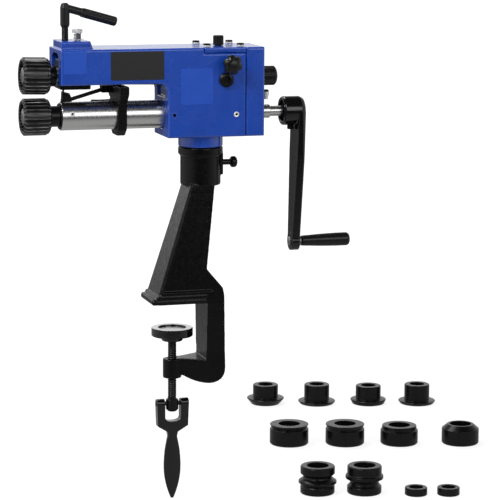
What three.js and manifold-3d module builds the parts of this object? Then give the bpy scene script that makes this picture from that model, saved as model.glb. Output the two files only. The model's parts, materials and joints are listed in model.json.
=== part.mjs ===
// A hand cranked bead roller on a bench clamp stand, built as a three.js scene graph of separate pieces.
// Millimetres, +Z up. The origin is on the upper jaw's underside, on the clamp screw's axis.
// +X points at the crank and -Y at the person who turns it.
import * as THREE from "three";
import { mergeVertices } from "three/addons/utils/BufferGeometryUtils.js";
import Module from "manifold-3d";

const wasm = await Module();
wasm.setup();

// Clearances
const fitGap = 0.3; // between a piece and the bore or seat that takes it
const slideGap = 0.45; // between pieces that slide or swing past each other

// Clamp stand
const swivelX = 40.5; // clamp screw axis to the head's swivel axis
const jawThickness = 8.5;
const jawBead = 4;
const jawLip = -37; // left end of the jaw
const jawHalfDepth = 34.5;
const jawEdge = 3;
const columnTopZ = 165;
const columnTopLeft = 20.5;
const columnTopRight = 54.1;
const columnTopHalf = 26.5;
const columnFootLeft = -27.5;
const columnFootHalf = 33.5;
const columnTopChamfer = 2.5; // along X, at the slanted side's edges
const columnFootChamfer = 4.5;
const chamferDepth = 3; // along Y
const waistX = 41.7;
const waistZ = 48;
const hipX = 64.5;
const hipZ = 21;
const frameShoulderX = 66.4;
const frameOuterX = 69;
const frameInnerX = 42.3;
const frameHalfDepth = 29.5;
const lowerArmTopZ = -81;
const lowerArmBottomZ = -105;
const frameHeelZ = -114.5;
const heelRadius = 22;
const panelRim = 5; // width of the rim round the cast panel
const panelDepth = 2.5;
const socketRadius = 28;
const collarRadius = 31;
const collarHeight = 11;
const lockPadHalf = 9; // flat pad on the socket's side that takes the lock screw
const lockPadDrop = 16.5; // below the screw's axis
const lockPadReach = 30.6; // from the swivel axis

// Clamp screw, pad and swinging handle
const screwRadius = 6.2;
const bossRadius = 13;
const bossTopZ = -82;
const bossBottomZ = -109;
const padRadius = 29;
const padTopZ = -37.5;
const padThickness = 12;
const padHubRadius = 14.7;
const padHubHeight = 7;
const padDishRadius = 23;
const padDishDepth = 2;
const screwEndRadius = 8.75;
const screwEndTopZ = -140;
const screwEndBottomZ = -157.5;
const pinRadius = 3;
const pinZ = -146.5;
const forkHalfWidth = 23.3;
const cheekThickness = 12;
const cheekHalfDepth = 7;
const forkThroatZ = -171.5;
const forkShoulderZ = -178;
const handleNeckZ = -190;
const handleNeckHalf = 6.5;
const paddleHalf = 12.2;
const paddleZ = -238;
const handleTipZ = -283.5;

// Swivel lock screw in the socket
const lockScrewDrop = 23.5; // under the socket's top
const lockScrewRadius = 4;
const lockHeadRadius = 7.8;
const lockHeadLength = 9;
const lockHeadX = 43.5; // from the swivel axis

// Head casting: X from the swivel axis, Z from the lower shaft's axis
const shaftHeight = 262; // jaw face to the lower shaft's axis
const throat = 178; // gearbox wall to the middle of the rollers
const headHalfDepth = 39.5;
const headDrop = 30;
const headRise = 92.5;
const armRise = 44.5;
const wallX = -56;
const seamX = 54;
const coverWidth = 26.6;
const armEndX = -204;
const throatFillet = 13;
const castEdge = 2;
const wall = 9;
const sideWall = 8.5;
const channelHalf = 22;
const channelTop = 86;
const channelFillet = 10;
const padHeight = 10.3; // raised pad over the pressure screw
const armPadLeft = -201;
const armPadRight = -159;
const armPadHalf = 27;
const flangeRadius = 30.8;
const flangeHeight = 15.7;
const pivotPinRadius = 23;
const pivotPinLength = 38;
const topPlateLeft = -5;
const topPlateThickness = 7.5;
const topMouthLeft = 6;
const topMouthRight = 43.5;
const topMouthHalf = 24;
const coverWall = 3.7;

// Shafts, gears and rollers
const rollerRadius = 25.3;
const rollerWidth = 33.5; // over the flutes
const rollerTail = 4.2; // rounded land behind the flutes
const rollerTailRadius = 24.1;
const rollerGap = 5; // between the rollers at rest
const rollerFlutes = 26;
const fluteDepth = 0.9;
const rollerRecessRadius = 19.5;
const rollerRecessDepth = 7.5;
const noseRadius = 10;
const shaftRadius = 11;
const gearSeatRadius = 9;
const crankEndRadius = 7.25;
const spacerRadius = 14.25;
const tubeRadius = 19.4;
const tubeBore = 15;
const tubeEndX = -198;
const bushFlange = 1.4;
const bushLength = 20;
const tiltX = 25.2; // trunnion axis of the upper shaft's carrier
const tiltZ = 48.5;
const gearTeeth = 24;
const gearModule = 1.92;
const gearFace = 12;
const gearX = 65.5;
const axialPlay = 2; // the upper shaft can be moved this far each way

// Bearing block, pressure screw and lift screw
const blockLeft = -201.3;
const blockLength = 42;
const blockBottom = 37.5;
const blockTop = 78.5;
const pressX = -190;
const pressRadius = 4.7;
const pressPadRadius = 8;
const pressPadHeight = 5;
const sleeveRadius = 6.4;
const sleeveBottom = 120.6;
const elbowZ = 146.7;
const handleRun = 71;
const handleFall = 20;
const handleBarRadius = 5.4;
const handleGripRadius = 6.6;
const liftX = -172.9;
const liftShankRadius = 2.4;
const liftHeadRadius = 7;
const liftHeadHeight = 5.4;
const springHeight = 9.2;
const springRadius = 4.6;
const springWire = 0.7;
const springTurns = 4;

// Crank
const crankHubLeft = 117;
const crankHubLength = 31.8;
const crankHubRadius = 20.3;
const crankHubRound = 7; // where the hub's outer end runs into the arm
const crankCupRadius = 15; // open recess round the shaft
const crankCupDepth = 7;
const crankArmThickness = 12;
const crankLean = 6; // the arm comes closer to the machine by this on its way down
const crankRadius = 185;
const crankMiddle = 60; // down to here the arm is almost as wide as its hub
const crankMiddleHalf = 19.4;
const crankTipHalf = 11.8;
const setScrewRadius = 4.6;
const setScrewInset = 13.5; // from the hub's open end
const gripLength = 71.5;
const gripRootRadius = 7.3;
const gripEndRadius = 9.4;
const studRadius = 4.2;

// Work fence on the tube
const fenceX = -116.1;
const fenceThickness = 12.8;
const fenceTop = 41.7;
const fenceTopHalf = 38;
const fenceTopDeep = 11;
const fenceRingHalf = 24.5;
const fenceBottom = -27.4;
const rodPivotX = -130;
const rodPivotZ = 33.6;
const rodY = 26.2;
const rodRadius = 2.8;
const rodLength = 50.4;
const rodSlope = 16;

// Knobs and small fittings
const knobLobes = 6;
const starRadius = 13; // half way between lobe and hollow
const starWave = 1.5;
const pivotHeadRadius = 10;
const alignRadius = 13.5;
const alignLength = 22.5;
const alignNeck = 5; // between the cover and the knob
const alignRise = 2.5; // above the upper shaft's axis, inside the wide bore of its end

// Loose rolls: each row starts at x, y on the floor and turns clockwise seen from above
const rollBore = 10.4;
const rowTurn = (-14.6 * Math.PI) / 180;
const flangedRow = { x: 326, y: 608, along: [0, 87.5, 175.6, 258.9] };
const wideRow = { x: 280.5, y: 333.3, along: [0, 88.7, 175.1, 272.6] };
const doubleRow = { x: 231.5, y: 43.8, along: [0, 68.6] };
const ringRow = { x: 367.1, y: -4.1, along: [0, 47.5] };

const paint = { blue: 0x2440a8, black: 0x16171a, cast: 0x1b1c1f };
const blue = new THREE.MeshStandardMaterial({ color: paint.blue, roughness: 0.42, metalness: 0.1 });
const castBlack = new THREE.MeshStandardMaterial({ color: paint.cast, roughness: 0.55, metalness: 0.2 });
const blackSteel = new THREE.MeshStandardMaterial({ color: paint.black, roughness: 0.4, metalness: 0.6 });
const blackPlastic = new THREE.MeshStandardMaterial({ color: 0x121214, roughness: 0.5, metalness: 0 });
const steel = new THREE.MeshStandardMaterial({ color: 0xb4b6b8, roughness: 0.3, metalness: 0.9 });
const zinc = new THREE.MeshStandardMaterial({ color: 0xc9cac6, roughness: 0.35, metalness: 0.85 });
const bronze = new THREE.MeshStandardMaterial({ color: 0xa9783a, roughness: 0.4, metalness: 0.9 });

const object = new THREE.Group();
object.name = "bead_roller";

// Geometry helpers

function solid(geometry) {
  const bare = geometry.index ? geometry.toNonIndexed() : geometry.clone();
  bare.deleteAttribute("normal");
  bare.deleteAttribute("uv");
  const merged = mergeVertices(bare, 1e-4);
  const corners = merged.index.array;
  const kept = [];
  for (let i = 0; i < corners.length; i += 3) {
    const [a, b, c] = [corners[i], corners[i + 1], corners[i + 2]];
    if (a !== b && b !== c && c !== a) kept.push(a, b, c);
  }
  const vertProperties = merged.attributes.position.array;
  const made = new wasm.Manifold(new wasm.Mesh({ numProp: 3, vertProperties, triVerts: new Uint32Array(kept) }));
  if (made.volume() > 0) return made;
  for (let i = 0; i < kept.length; i += 3) [kept[i + 1], kept[i + 2]] = [kept[i + 2], kept[i + 1]];
  return new wasm.Manifold(new wasm.Mesh({ numProp: 3, vertProperties, triVerts: new Uint32Array(kept) }));
}

function geometryOf(manifold) {
  const mesh = manifold.getMesh();
  const geometry = new THREE.BufferGeometry();
  geometry.setAttribute("position", new THREE.BufferAttribute(mesh.vertProperties, 3));
  geometry.setIndex(new THREE.BufferAttribute(mesh.triVerts, 1));
  const flat = geometry.toNonIndexed();
  flat.computeVertexNormals();
  return flat;
}

function piece(name, manifold, material, parent) {
  const mesh = new THREE.Mesh(geometryOf(manifold), material);
  mesh.name = name;
  parent.add(mesh);
  return mesh;
}

function joined(first, ...rest) {
  return rest.reduce((sum, next) => sum.add(next), first);
}

// A revolved solid about Z; each profile point is [radius, z].
function turned(profile, segments = 18) {
  const points = profile.map(([r, z]) => new THREE.Vector2(r, z));
  if (profile[0][0] > 0) points.push(points[0].clone());
  return new THREE.LatheGeometry(points, segments).rotateX(Math.PI / 2);
}

// The same about X or Y; each profile point is [distance along the axis, radius].
function turnedX(profile, segments = 18) {
  return turned(profile.map(([x, r]) => [r, x]), segments).rotateY(Math.PI / 2);
}

function turnedY(profile, segments = 18) {
  return turned(profile.map(([y, r]) => [r, y]), segments).rotateX(-Math.PI / 2);
}

function rod(radius, from, to) {
  return [[from, 0], [from, radius], [to, radius], [to, 0]];
}

function cylinderX(radius, from, to, segments = 18) {
  return solid(turnedX(rod(radius, from, to), segments));
}

function cylinderY(radius, from, to, segments = 18) {
  return solid(turnedY(rod(radius, from, to), segments));
}

function cylinderZ(radius, from, to, segments = 18) {
  return solid(turned([[0, from], [radius, from], [radius, to], [0, to]], segments));
}

// A faceted hole's flats lie inside its radius, so its corners go further out.
function bore(radius, segments = 18) {
  return radius / Math.cos(Math.PI / segments);
}

function shapeOf(points) {
  return new THREE.Shape(points.map(([x, y]) => new THREE.Vector2(x, y)));
}

function block(x0, x1, y0, y1, z0, z1) {
  const box = new THREE.BoxGeometry(x1 - x0, y1 - y0, z1 - z0);
  return solid(box.translate((x0 + x1) / 2, (y0 + y1) / 2, (z0 + z1) / 2));
}

// Outlines drawn in XZ, thickened along Y from y0 to y1.
function plateY(shape, y0, y1, edge = 0, curveSegments = 6) {
  const options = { depth: y1 - y0 - 2 * edge, bevelEnabled: edge > 0, curveSegments };
  Object.assign(options, { bevelThickness: edge, bevelSize: edge, bevelOffset: -edge, bevelSegments: 1 });
  return solid(new THREE.ExtrudeGeometry(shape, options).translate(0, 0, edge).rotateX(Math.PI / 2).translate(0, y1, 0));
}

// Outlines drawn in YZ, thickened along X from x0 to x1.
function plateX(shape, x0, x1, edge = 0, curveSegments = 6) {
  const options = { depth: x1 - x0 - 2 * edge, bevelEnabled: edge > 0, curveSegments };
  Object.assign(options, { bevelThickness: edge, bevelSize: edge, bevelOffset: -edge, bevelSegments: 1 });
  const flat = new THREE.ExtrudeGeometry(shape, options).translate(0, 0, edge);
  return solid(flat.rotateX(Math.PI / 2).rotateZ(Math.PI / 2).translate(x0, 0, 0));
}

// Outlines drawn in XY, thickened along Z from z0 to z1.
function plateZ(shape, z0, z1, edge = 0, curveSegments = 6) {
  const options = { depth: z1 - z0 - 2 * edge, bevelEnabled: edge > 0, curveSegments };
  Object.assign(options, { bevelThickness: edge, bevelSize: edge, bevelOffset: -edge, bevelSegments: 1 });
  return solid(new THREE.ExtrudeGeometry(shape, options).translate(0, 0, z0 + edge));
}

function moved(manifold, x, y, z) {
  return manifold.translate([x, y, z]);
}

// Clamp stand

const socketTopZ = shaftHeight - headDrop - flangeHeight - fitGap;
const lockScrewZ = socketTopZ - lockScrewDrop;
const lipTopZ = jawThickness + jawBead;

function framePart() {
  const outline = new THREE.Shape();
  outline.moveTo(columnTopLeft, columnTopZ);
  outline.lineTo(columnFootLeft, lipTopZ);
  outline.lineTo(columnFootLeft, 0);
  outline.lineTo(frameInnerX, 0);
  outline.lineTo(frameInnerX, lowerArmTopZ);
  outline.lineTo(0, lowerArmTopZ);
  outline.lineTo(0, lowerArmBottomZ);
  outline.lineTo(bossRadius, lowerArmBottomZ);
  outline.quadraticCurveTo(frameInnerX - 14, frameHeelZ, frameInnerX + 3, frameHeelZ);
  outline.quadraticCurveTo(frameOuterX + 0.5, frameHeelZ, frameOuterX + 0.5, frameHeelZ + heelRadius);
  outline.lineTo(frameShoulderX, hipZ - 10);
  outline.lineTo(hipX, hipZ);
  outline.lineTo(waistX, waistZ);
  outline.lineTo(columnTopRight, columnTopZ);
  return outline;
}

// The stand's depth changes with height, so its front view is cut to this side view.
function depthEnvelope(inset) {
  const rows = [
    [frameHalfDepth, frameHeelZ - 5],
    [frameHalfDepth, lowerArmTopZ + 12],
    [columnFootHalf, 0],
    [columnFootHalf, lipTopZ],
    [columnTopHalf, columnTopZ + 2],
  ];
  const right = rows.map(([y, z]) => [y - inset, z]);
  const left = rows.map(([y, z]) => [inset - y, z]).reverse();
  return plateX(shapeOf([...right, ...left]), jawLip - 20, frameOuterX + 20);
}

function panelCut() {
  const slope = (columnTopLeft - columnFootLeft) / (columnTopZ - lipTopZ);
  const leftAt = (z) => columnFootLeft + slope * (z - lipTopZ) + panelRim;
  const top = columnTopZ - 2 * panelRim;
  const bottom = lipTopZ + panelRim;
  const points = [
    [leftAt(bottom), bottom],
    [frameInnerX + 8, bottom],
    [waistX - panelRim, waistZ],
    [columnTopRight - 1.6 * panelRim, top],
    [leftAt(top), top],
  ];
  return plateY(shapeOf(points), -2 * columnFootHalf, 2 * columnFootHalf);
}

// Takes off the long edge between the column's slanted side and its front (side -1) or back (side 1).
function edgeCut(side) {
  const ring = (left, half, chamfer, z) => [
    [left - chamfer / 2, side * (half + chamferDepth / 2), z],
    [left + 1.5 * chamfer, side * (half + chamferDepth / 2), z],
    [left - chamfer / 2, side * (half - 1.5 * chamferDepth), z],
  ];
  const foot = ring(columnFootLeft, columnFootHalf, columnFootChamfer, lipTopZ);
  return solid(loft([foot, ring(columnTopLeft, columnTopHalf, columnTopChamfer, columnTopZ)]));
}

function jawPlate() {
  const outline = [
    [jawLip, 2],
    [jawLip + 2, 0],
    [frameInnerX, 0],
    [frameInnerX, jawThickness],
    [jawLip + 2, jawThickness],
    [jawLip, jawThickness - 2],
  ];
  const slab = plateY(shapeOf(outline), -jawHalfDepth, jawHalfDepth, jawEdge);
  const bead = [
    [columnFootLeft - jawBead, jawThickness - 1],
    [frameInnerX, jawThickness - 1],
    [frameInnerX, lipTopZ],
    [columnFootLeft - jawBead / 2, lipTopZ],
  ];
  const beadHalf = (jawHalfDepth + columnFootHalf) / 2;
  return slab.add(plateY(shapeOf(bead), -beadHalf, beadHalf, 1));
}

function lowerArmTaper() {
  const root = frameInnerX + 4;
  const points = [
    [-bossRadius - 2, -bossRadius + 2],
    [bossRadius, -bossRadius + 2],
    [root, -frameHalfDepth],
    [frameOuterX + 5, -frameHalfDepth],
    [frameOuterX + 5, frameHalfDepth],
    [root, frameHalfDepth],
    [bossRadius, bossRadius - 2],
    [-bossRadius - 2, bossRadius - 2],
  ];
  const arm = plateZ(shapeOf(points), frameHeelZ - 5, lowerArmTopZ + 12);
  const above = block(jawLip - 20, frameOuterX + 20, -60, 60, lowerArmTopZ + 12, columnTopZ + 5);
  return arm.add(above);
}

function socketBody() {
  const profile = [
    [0, columnTopZ - 2.5],
    [socketRadius - 1.5, columnTopZ - 2.5],
    [socketRadius, columnTopZ - 1],
    [socketRadius, socketTopZ - collarHeight - 2],
    [collarRadius, socketTopZ - collarHeight + 1],
    [collarRadius, socketTopZ - 1],
    [collarRadius - 1, socketTopZ],
    [0, socketTopZ],
  ];
  return moved(solid(turned(profile, 28)), swivelX, 0, 0);
}

function standFrame() {
  const front = plateY(framePart(), -50, 50);
  const shell = front.subtract(panelCut()).intersect(depthEnvelope(0));
  const core = front.intersect(depthEnvelope(panelDepth));
  const casting = shell.add(core).intersect(lowerArmTaper()).subtract(edgeCut(-1)).subtract(edgeCut(1));
  const boss = cylinderZ(bossRadius, bossBottomZ, bossTopZ, 20);
  const lockPadTop = socketTopZ - collarHeight + 1;
  const lockPad = block(swivelX, swivelX + lockPadReach, -lockPadHalf, lockPadHalf, lockScrewZ - lockPadDrop, lockPadTop);
  const pinBore = moved(
    cylinderZ(bore(pivotPinRadius + slideGap, 28), socketTopZ - pivotPinLength - 2, socketTopZ + 1, 28),
    swivelX, 0, 0,
  );
  const lockBore = moved(
    cylinderX(bore(lockScrewRadius + fitGap, 12), pivotPinRadius - 2, lockPadReach + 2, 12),
    swivelX, 0, lockScrewZ,
  );
  const screwBore = cylinderZ(bore(screwRadius + fitGap), bossBottomZ - 1, bossTopZ + 1);
  return joined(casting, jawPlate(), boss, socketBody(), lockPad)
    .subtract(screwBore)
    .subtract(pinBore)
    .subtract(lockBore);
}

piece("stand_frame", standFrame(), castBlack, object);

// Clamp screw with its swivelling pad and swinging handle

const clamp = new THREE.Group();
object.add(clamp);
const screwTopZ = padTopZ - padThickness + 4;

function clampPad() {
  const low = padTopZ - padThickness;
  const hubLow = low - padHubHeight;
  const socket = bore(screwRadius + slideGap);
  const socketTop = screwTopZ + fitGap;
  const profile = [
    [0, padTopZ - padDishDepth],
    [padDishRadius, padTopZ - padDishDepth],
    [padDishRadius + 1, padTopZ],
    [padRadius - 1.5, padTopZ],
    [padRadius, padTopZ - 1.5],
    [padRadius, low + 1],
    [padRadius - 1, low],
    [padHubRadius, low],
    [padHubRadius, hubLow],
    [socket, hubLow],
    [socket, socketTop],
    [0, socketTop],
  ];
  return solid(turned(profile, 24));
}

function clampScrew() {
  const profile = [
    [0, screwEndBottomZ],
    [screwEndRadius - 3, screwEndBottomZ],
    [screwEndRadius, screwEndBottomZ + 3],
    [screwEndRadius, screwEndTopZ - 1],
    [screwEndRadius - 1, screwEndTopZ],
    [screwRadius, screwEndTopZ],
    [screwRadius, screwTopZ - 1],
    [screwRadius - 1, screwTopZ],
    [0, screwTopZ],
  ];
  const cross = moved(cylinderX(bore(pinRadius + fitGap, 12), -20, 20, 12), 0, 0, pinZ);
  return solid(turned(profile)).subtract(cross);
}

function clampPin() {
  const half = forkHalfWidth + 0.5;
  const profile = [[-half, 0], [-half, pinRadius - 0.6], [-half + 0.6, pinRadius]];
  const mirrored = [[half - 0.6, pinRadius], [half, pinRadius - 0.6], [half, 0]];
  return moved(solid(turnedX([...profile, ...mirrored], 12)), 0, 0, pinZ);
}

function handleOutline() {
  const inner = forkHalfWidth - cheekThickness;
  const outline = new THREE.Shape();
  const top = pinZ + cheekHalfDepth;
  outline.moveTo(inner, top);
  outline.lineTo(forkHalfWidth, top);
  outline.lineTo(forkHalfWidth - 1.5, forkShoulderZ);
  outline.lineTo(handleNeckHalf + 1, handleNeckZ + 3);
  outline.lineTo(handleNeckHalf, handleNeckZ - 4);
  outline.quadraticCurveTo(paddleHalf, paddleZ + 25, paddleHalf, paddleZ);
  outline.quadraticCurveTo(paddleHalf, paddleZ - 22, 2, handleTipZ);
  outline.lineTo(-2, handleTipZ);
  outline.quadraticCurveTo(-paddleHalf, paddleZ - 22, -paddleHalf, paddleZ);
  outline.quadraticCurveTo(-paddleHalf, paddleZ + 25, -handleNeckHalf, handleNeckZ - 4);
  outline.lineTo(-handleNeckHalf - 1, handleNeckZ + 3);
  outline.lineTo(-forkHalfWidth + 1.5, forkShoulderZ);
  outline.lineTo(-forkHalfWidth, top);
  outline.lineTo(-inner, top);
  outline.lineTo(-inner, forkThroatZ + 6);
  outline.quadraticCurveTo(-inner, forkThroatZ, 0, forkThroatZ);
  outline.quadraticCurveTo(inner, forkThroatZ, inner, forkThroatZ + 6);
  return outline;
}

function handleDepth() {
  const eye = new THREE.Shape();
  const half = cheekHalfDepth;
  eye.moveTo(half, pinZ);
  eye.absarc(0, pinZ, half, 0, Math.PI, false);
  eye.lineTo(-half, forkShoulderZ);
  eye.lineTo(-half + 2, handleNeckZ);
  eye.lineTo(-3.6, paddleZ);
  eye.lineTo(-1.6, handleTipZ - 1);
  eye.lineTo(1.6, handleTipZ - 1);
  eye.lineTo(3.6, paddleZ);
  eye.lineTo(half - 2, handleNeckZ);
  eye.lineTo(half, forkShoulderZ);
  return plateX(eye, -forkHalfWidth - 5, forkHalfWidth + 5);
}

function clampHandle() {
  const flat = plateY(handleOutline(), -12, 12);
  const cross = moved(cylinderX(bore(pinRadius + fitGap, 12), -30, 30, 12), 0, 0, pinZ);
  return flat.intersect(handleDepth()).subtract(cross);
}

piece("clamp_pad", clampPad(), castBlack, clamp);
piece("clamp_screw", clampScrew(), blackSteel, clamp);
piece("clamp_pin", clampPin(), blackSteel, clamp);
piece("clamp_handle", clampHandle(), castBlack, clamp);

// Swivel lock screw

function swivelScrew() {
  const tip = pivotPinRadius + slideGap;
  const end = lockHeadX + lockHeadLength;
  const profile = [
    [tip, 0],
    [tip, lockScrewRadius - 1],
    [tip + 1, lockScrewRadius],
    [lockHeadX - 1, lockScrewRadius],
    [lockHeadX, lockHeadRadius - 1.5],
    [lockHeadX + 1.5, lockHeadRadius],
    [end - 3, lockHeadRadius],
    [end - 1, lockHeadRadius - 1.5],
    [end, lockHeadRadius - 4],
    [end, 0],
  ];
  return moved(solid(turnedX(profile, 14)), swivelX, 0, lockScrewZ);
}

piece("swivel_lock_screw", swivelScrew(), blackSteel, object);

// Head: everything below is placed from the swivel axis and the lower shaft's axis.

const head = new THREE.Group();
head.position.set(swivelX, 0, shaftHeight);
object.add(head);

const coverX = seamX + coverWidth;
const rollerX = wallX - throat;
const rollerCentres = 2 * rollerRadius + rollerGap;
const tiltAngle = Math.atan((rollerCentres - tiltZ) / (tiltX - rollerX));
const bearingWallX = seamX - wall;
const plateUnderside = headRise - topPlateThickness;
const padTop = headRise + padHeight;
const plateScrews = [[1, -28], [1, 28], [48.6, -28], [48.6, 28]];

function headOutline() {
  const outline = new THREE.Shape();
  outline.moveTo(wallX, -headDrop);
  outline.lineTo(seamX, -headDrop);
  outline.lineTo(seamX, plateUnderside);
  outline.lineTo(topPlateLeft, plateUnderside);
  outline.lineTo(topPlateLeft, headRise);
  outline.lineTo(armEndX, headRise);
  outline.lineTo(armEndX, armRise);
  outline.lineTo(wallX - throatFillet, armRise);
  outline.absarc(wallX - throatFillet, armRise - throatFillet, throatFillet, Math.PI / 2, 0, true);
  return outline;
}

function channel() {
  const section = new THREE.Shape();
  const r = channelFillet;
  section.moveTo(-channelHalf, armRise - 20);
  section.lineTo(channelHalf, armRise - 20);
  section.lineTo(channelHalf, channelTop - r);
  section.absarc(channelHalf - r, channelTop - r, r, 0, Math.PI / 2, false);
  section.absarc(-channelHalf + r, channelTop - r, r, Math.PI / 2, Math.PI, false);
  return plateX(section, armEndX - 5, wallX + wall + 1, 0, 4);
}

function armPad() {
  const outline = [
    [armPadLeft, headRise - 3],
    [armPadRight + 3, headRise - 3],
    [armPadRight + 2, headRise],
    [armPadRight, padTop],
    [armPadLeft, padTop],
  ];
  outline[3] = [armPadRight - 1.5, padTop];
  return plateY(shapeOf(outline), -armPadHalf, armPadHalf, 1.5);
}

function headCavities() {
  const inner = headHalfDepth - sideWall;
  const box = block(wallX + wall, bearingWallX, -inner, inner, -headDrop + wall, plateUnderside - wall);
  const mouth = block(topMouthLeft, topMouthRight, -topMouthHalf, topMouthHalf, plateUnderside - wall - 1, plateUnderside + 1);
  return box.add(mouth);
}

function headBores() {
  const tubeHole = cylinderX(bore(tubeRadius + fitGap, 24), wallX - 1, wallX + wall + 1, 24);
  const bearingHole = cylinderX(bore(tubeRadius + fitGap, 24), bearingWallX - 1, seamX + 1, 24);
  const upperHole = moved(cylinderX(bore(shaftRadius + 3.5), bearingWallX - 1, seamX + 1), 0, 0, tiltZ - 0.8);
  const pressHole = moved(cylinderZ(bore(pressRadius + fitGap, 16), channelTop - 5, padTop + 1, 16), pressX, 0, 0);
  const pressWell = moved(cylinderZ(bore(pressPadRadius + slideGap, 20), channelTop - 5, channelTop + 7.5, 20), pressX, 0, 0);
  const liftHole = moved(cylinderZ(4.2, channelTop - 5, padTop + 1, 12), liftX, 0, 0);
  const pivotHole = moved(cylinderY(bore(pivotRadius + fitGap, 16), -headHalfDepth - 1, headHalfDepth + 1, 16), tiltX, 0, tiltZ);
  const starHole = moved(cylinderY(bore(starStudRadius + fitGap, 12), -headHalfDepth - 1, 0, 12), starX, 0, starZ);
  return joined(tubeHole, bearingHole, upperHole, pressHole, pressWell, liftHole, pivotHole, starHole);
}

const pivotRadius = 6;
const starX = 29.3;
const starZ = 70.4;
const starStudRadius = 4;

function headCasting() {
  const body = plateY(headOutline(), -headHalfDepth, headHalfDepth, castEdge);
  const flangeBottom = -headDrop - flangeHeight;
  const spigot = [
    [0, -headDrop + 3],
    [flangeRadius, -headDrop + 3],
    [flangeRadius, flangeBottom + 1],
    [flangeRadius - 1, flangeBottom],
    [pivotPinRadius, flangeBottom],
    [pivotPinRadius, flangeBottom - pivotPinLength + 2],
    [pivotPinRadius - 2, flangeBottom - pivotPinLength],
    [0, flangeBottom - pivotPinLength],
  ];
  let casting = joined(body, armPad(), solid(turned(spigot, 28)));
  casting = casting.subtract(channel()).subtract(headCavities()).subtract(headBores());
  for (const [x, y] of plateScrews) {
    casting = casting.subtract(moved(cylinderZ(bore(2.8, 8), plateUnderside - 10, plateUnderside + 1, 8), x, y, 0));
  }
  return casting;
}

piece("head_casting", headCasting(), blue, head);

// Gear cover, top plate and its screws

const alignZ = tiltZ - (coverX - tiltX) * Math.tan(tiltAngle) + alignRise;
const alignNeckRadius = 5;

function gearCover() {
  const left = seamX + fitGap;
  const outline = [[left, -headDrop], [coverX, -headDrop], [coverX, headRise], [left, headRise]];
  const shell = plateY(shapeOf(outline), -headHalfDepth, headHalfDepth, castEdge);
  const inner = headHalfDepth - coverWall;
  const room = block(left - 1, coverX - coverWall, -inner, inner, -headDrop + coverWall, headRise - coverWall);
  const shaftHole = cylinderX(bore(crankEndRadius + 0.6, 24), coverX - 10, coverX + 1);
  const knobHole = moved(cylinderX(bore(alignNeckRadius + fitGap, 16), coverX - 10, coverX + 1, 16), 0, 0, alignZ);
  const cupHole = moved(cylinderX(bore(1.8 + fitGap, 8), coverX - 10, coverX + 1, 8), 0, cupY, cupZ);
  return shell.subtract(room).subtract(shaftHole).subtract(knobHole).subtract(cupHole);
}

const cupY = -28;
const cupZ = 22.5;

function oilCup() {
  const stem = moved(cylinderX(1.8, coverX - coverWall + 1, coverX + 4, 8), 0, cupY, cupZ);
  const cup = [[0, -3], [3.2, -3], [3.2, 2], [4.4, 2.6], [4.4, 8], [3.4, 10], [0, 10.6]];
  return stem.add(moved(solid(turned(cup, 12)), coverX + 5.2, cupY, cupZ));
}

function topPlate() {
  const left = topPlateLeft + fitGap;
  const low = plateUnderside + fitGap;
  const outline = [[left, low], [seamX, low], [seamX, headRise], [left, headRise]];
  let plate = plateY(shapeOf(outline), -headHalfDepth, headHalfDepth, 1);
  for (const [x, y] of plateScrews) plate = plate.subtract(moved(cylinderZ(bore(2.8, 8), 0, headRise + 1, 8), x, y, 0));
  return plate.subtract(moved(cylinderZ(bore(4 + fitGap, 12), 0, headRise + 1, 12), tiltX, 0, 0));
}

function plateScrew() {
  const seat = headRise + fitGap;
  const profile = [
    [0, plateUnderside - 9],
    [2.4, plateUnderside - 9],
    [2.4, seat],
    [5, seat],
    [5, seat + 4],
    [4.4, seat + 4.8],
    [2.6, seat + 4.8],
    [2.2, seat + 2.4],
    [0, seat + 2.4],
  ];
  return solid(turned(profile, 10));
}

piece("gear_cover", gearCover(), blue, head);
piece("oil_cup", oilCup(), zinc, head);
piece("top_plate", topPlate(), blue, head);
plateScrews.forEach(([x, y], i) => {
  piece("plate_screw_" + (i + 1), plateScrew(), blackSteel, head).position.set(x, y, 0);
});

// Guide tube with its front bush, and the rear bearing of the lower shaft

function guideTube() {
  return ringX(tubeBore, tubeRadius, tubeEndX, wallX + wall - fitGap, 24);
}

function ringX(inner, outer, from, to, segments = 18) {
  return cylinderX(outer, from, to, segments).subtract(cylinderX(bore(inner, segments), from - 1, to + 1, segments));
}

function tubeBush() {
  const sleeve = ringX(shaftRadius + fitGap, tubeBore - fitGap, tubeEndX - 0.5, tubeEndX + bushLength);
  const lip = ringX(shaftRadius + fitGap, tubeRadius - 0.4, tubeEndX - fitGap - bushFlange, tubeEndX - fitGap);
  return sleeve.add(lip);
}

piece("guide_tube", guideTube(), steel, head);
piece("tube_bush", tubeBush(), blackSteel, head);
piece("lower_bearing", ringX(shaftRadius + fitGap, tubeRadius, bearingWallX, seamX - 0.2), bronze, head);

// Trunnion screws that the upper shaft's carrier tilts on

const carrierHalf = 27;
const carrierTop = 25; // above the trunnions

function pivotScrew() {
  const inner = carrierHalf - 7;
  const face = headHalfDepth + fitGap;
  const outer = face + 5;
  const profile = [
    [inner, 0],
    [inner, pivotRadius],
    [face, pivotRadius],
    [face, pivotHeadRadius],
    [outer - 1.2, pivotHeadRadius],
    [outer, pivotHeadRadius - 1.2],
    [outer, 3.4],
    [outer - 3.5, 3],
    [outer - 3.5, 0],
  ];
  return solid(turnedY(profile, 14));
}

const frontPivot = piece("pivot_screw_front", pivotScrew(), blackSteel, head);
frontPivot.position.set(tiltX, 0, tiltZ);
frontPivot.rotation.z = Math.PI;
piece("pivot_screw_rear", pivotScrew(), blackSteel, head).position.set(tiltX, 0, tiltZ);

// Upper shaft: the tilting carriage. Its group's X axis is the shaft's axis.

const carriage = new THREE.Group();
carriage.position.set(tiltX, 0, tiltZ);
carriage.rotation.y = tiltAngle;
head.add(carriage);

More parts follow.
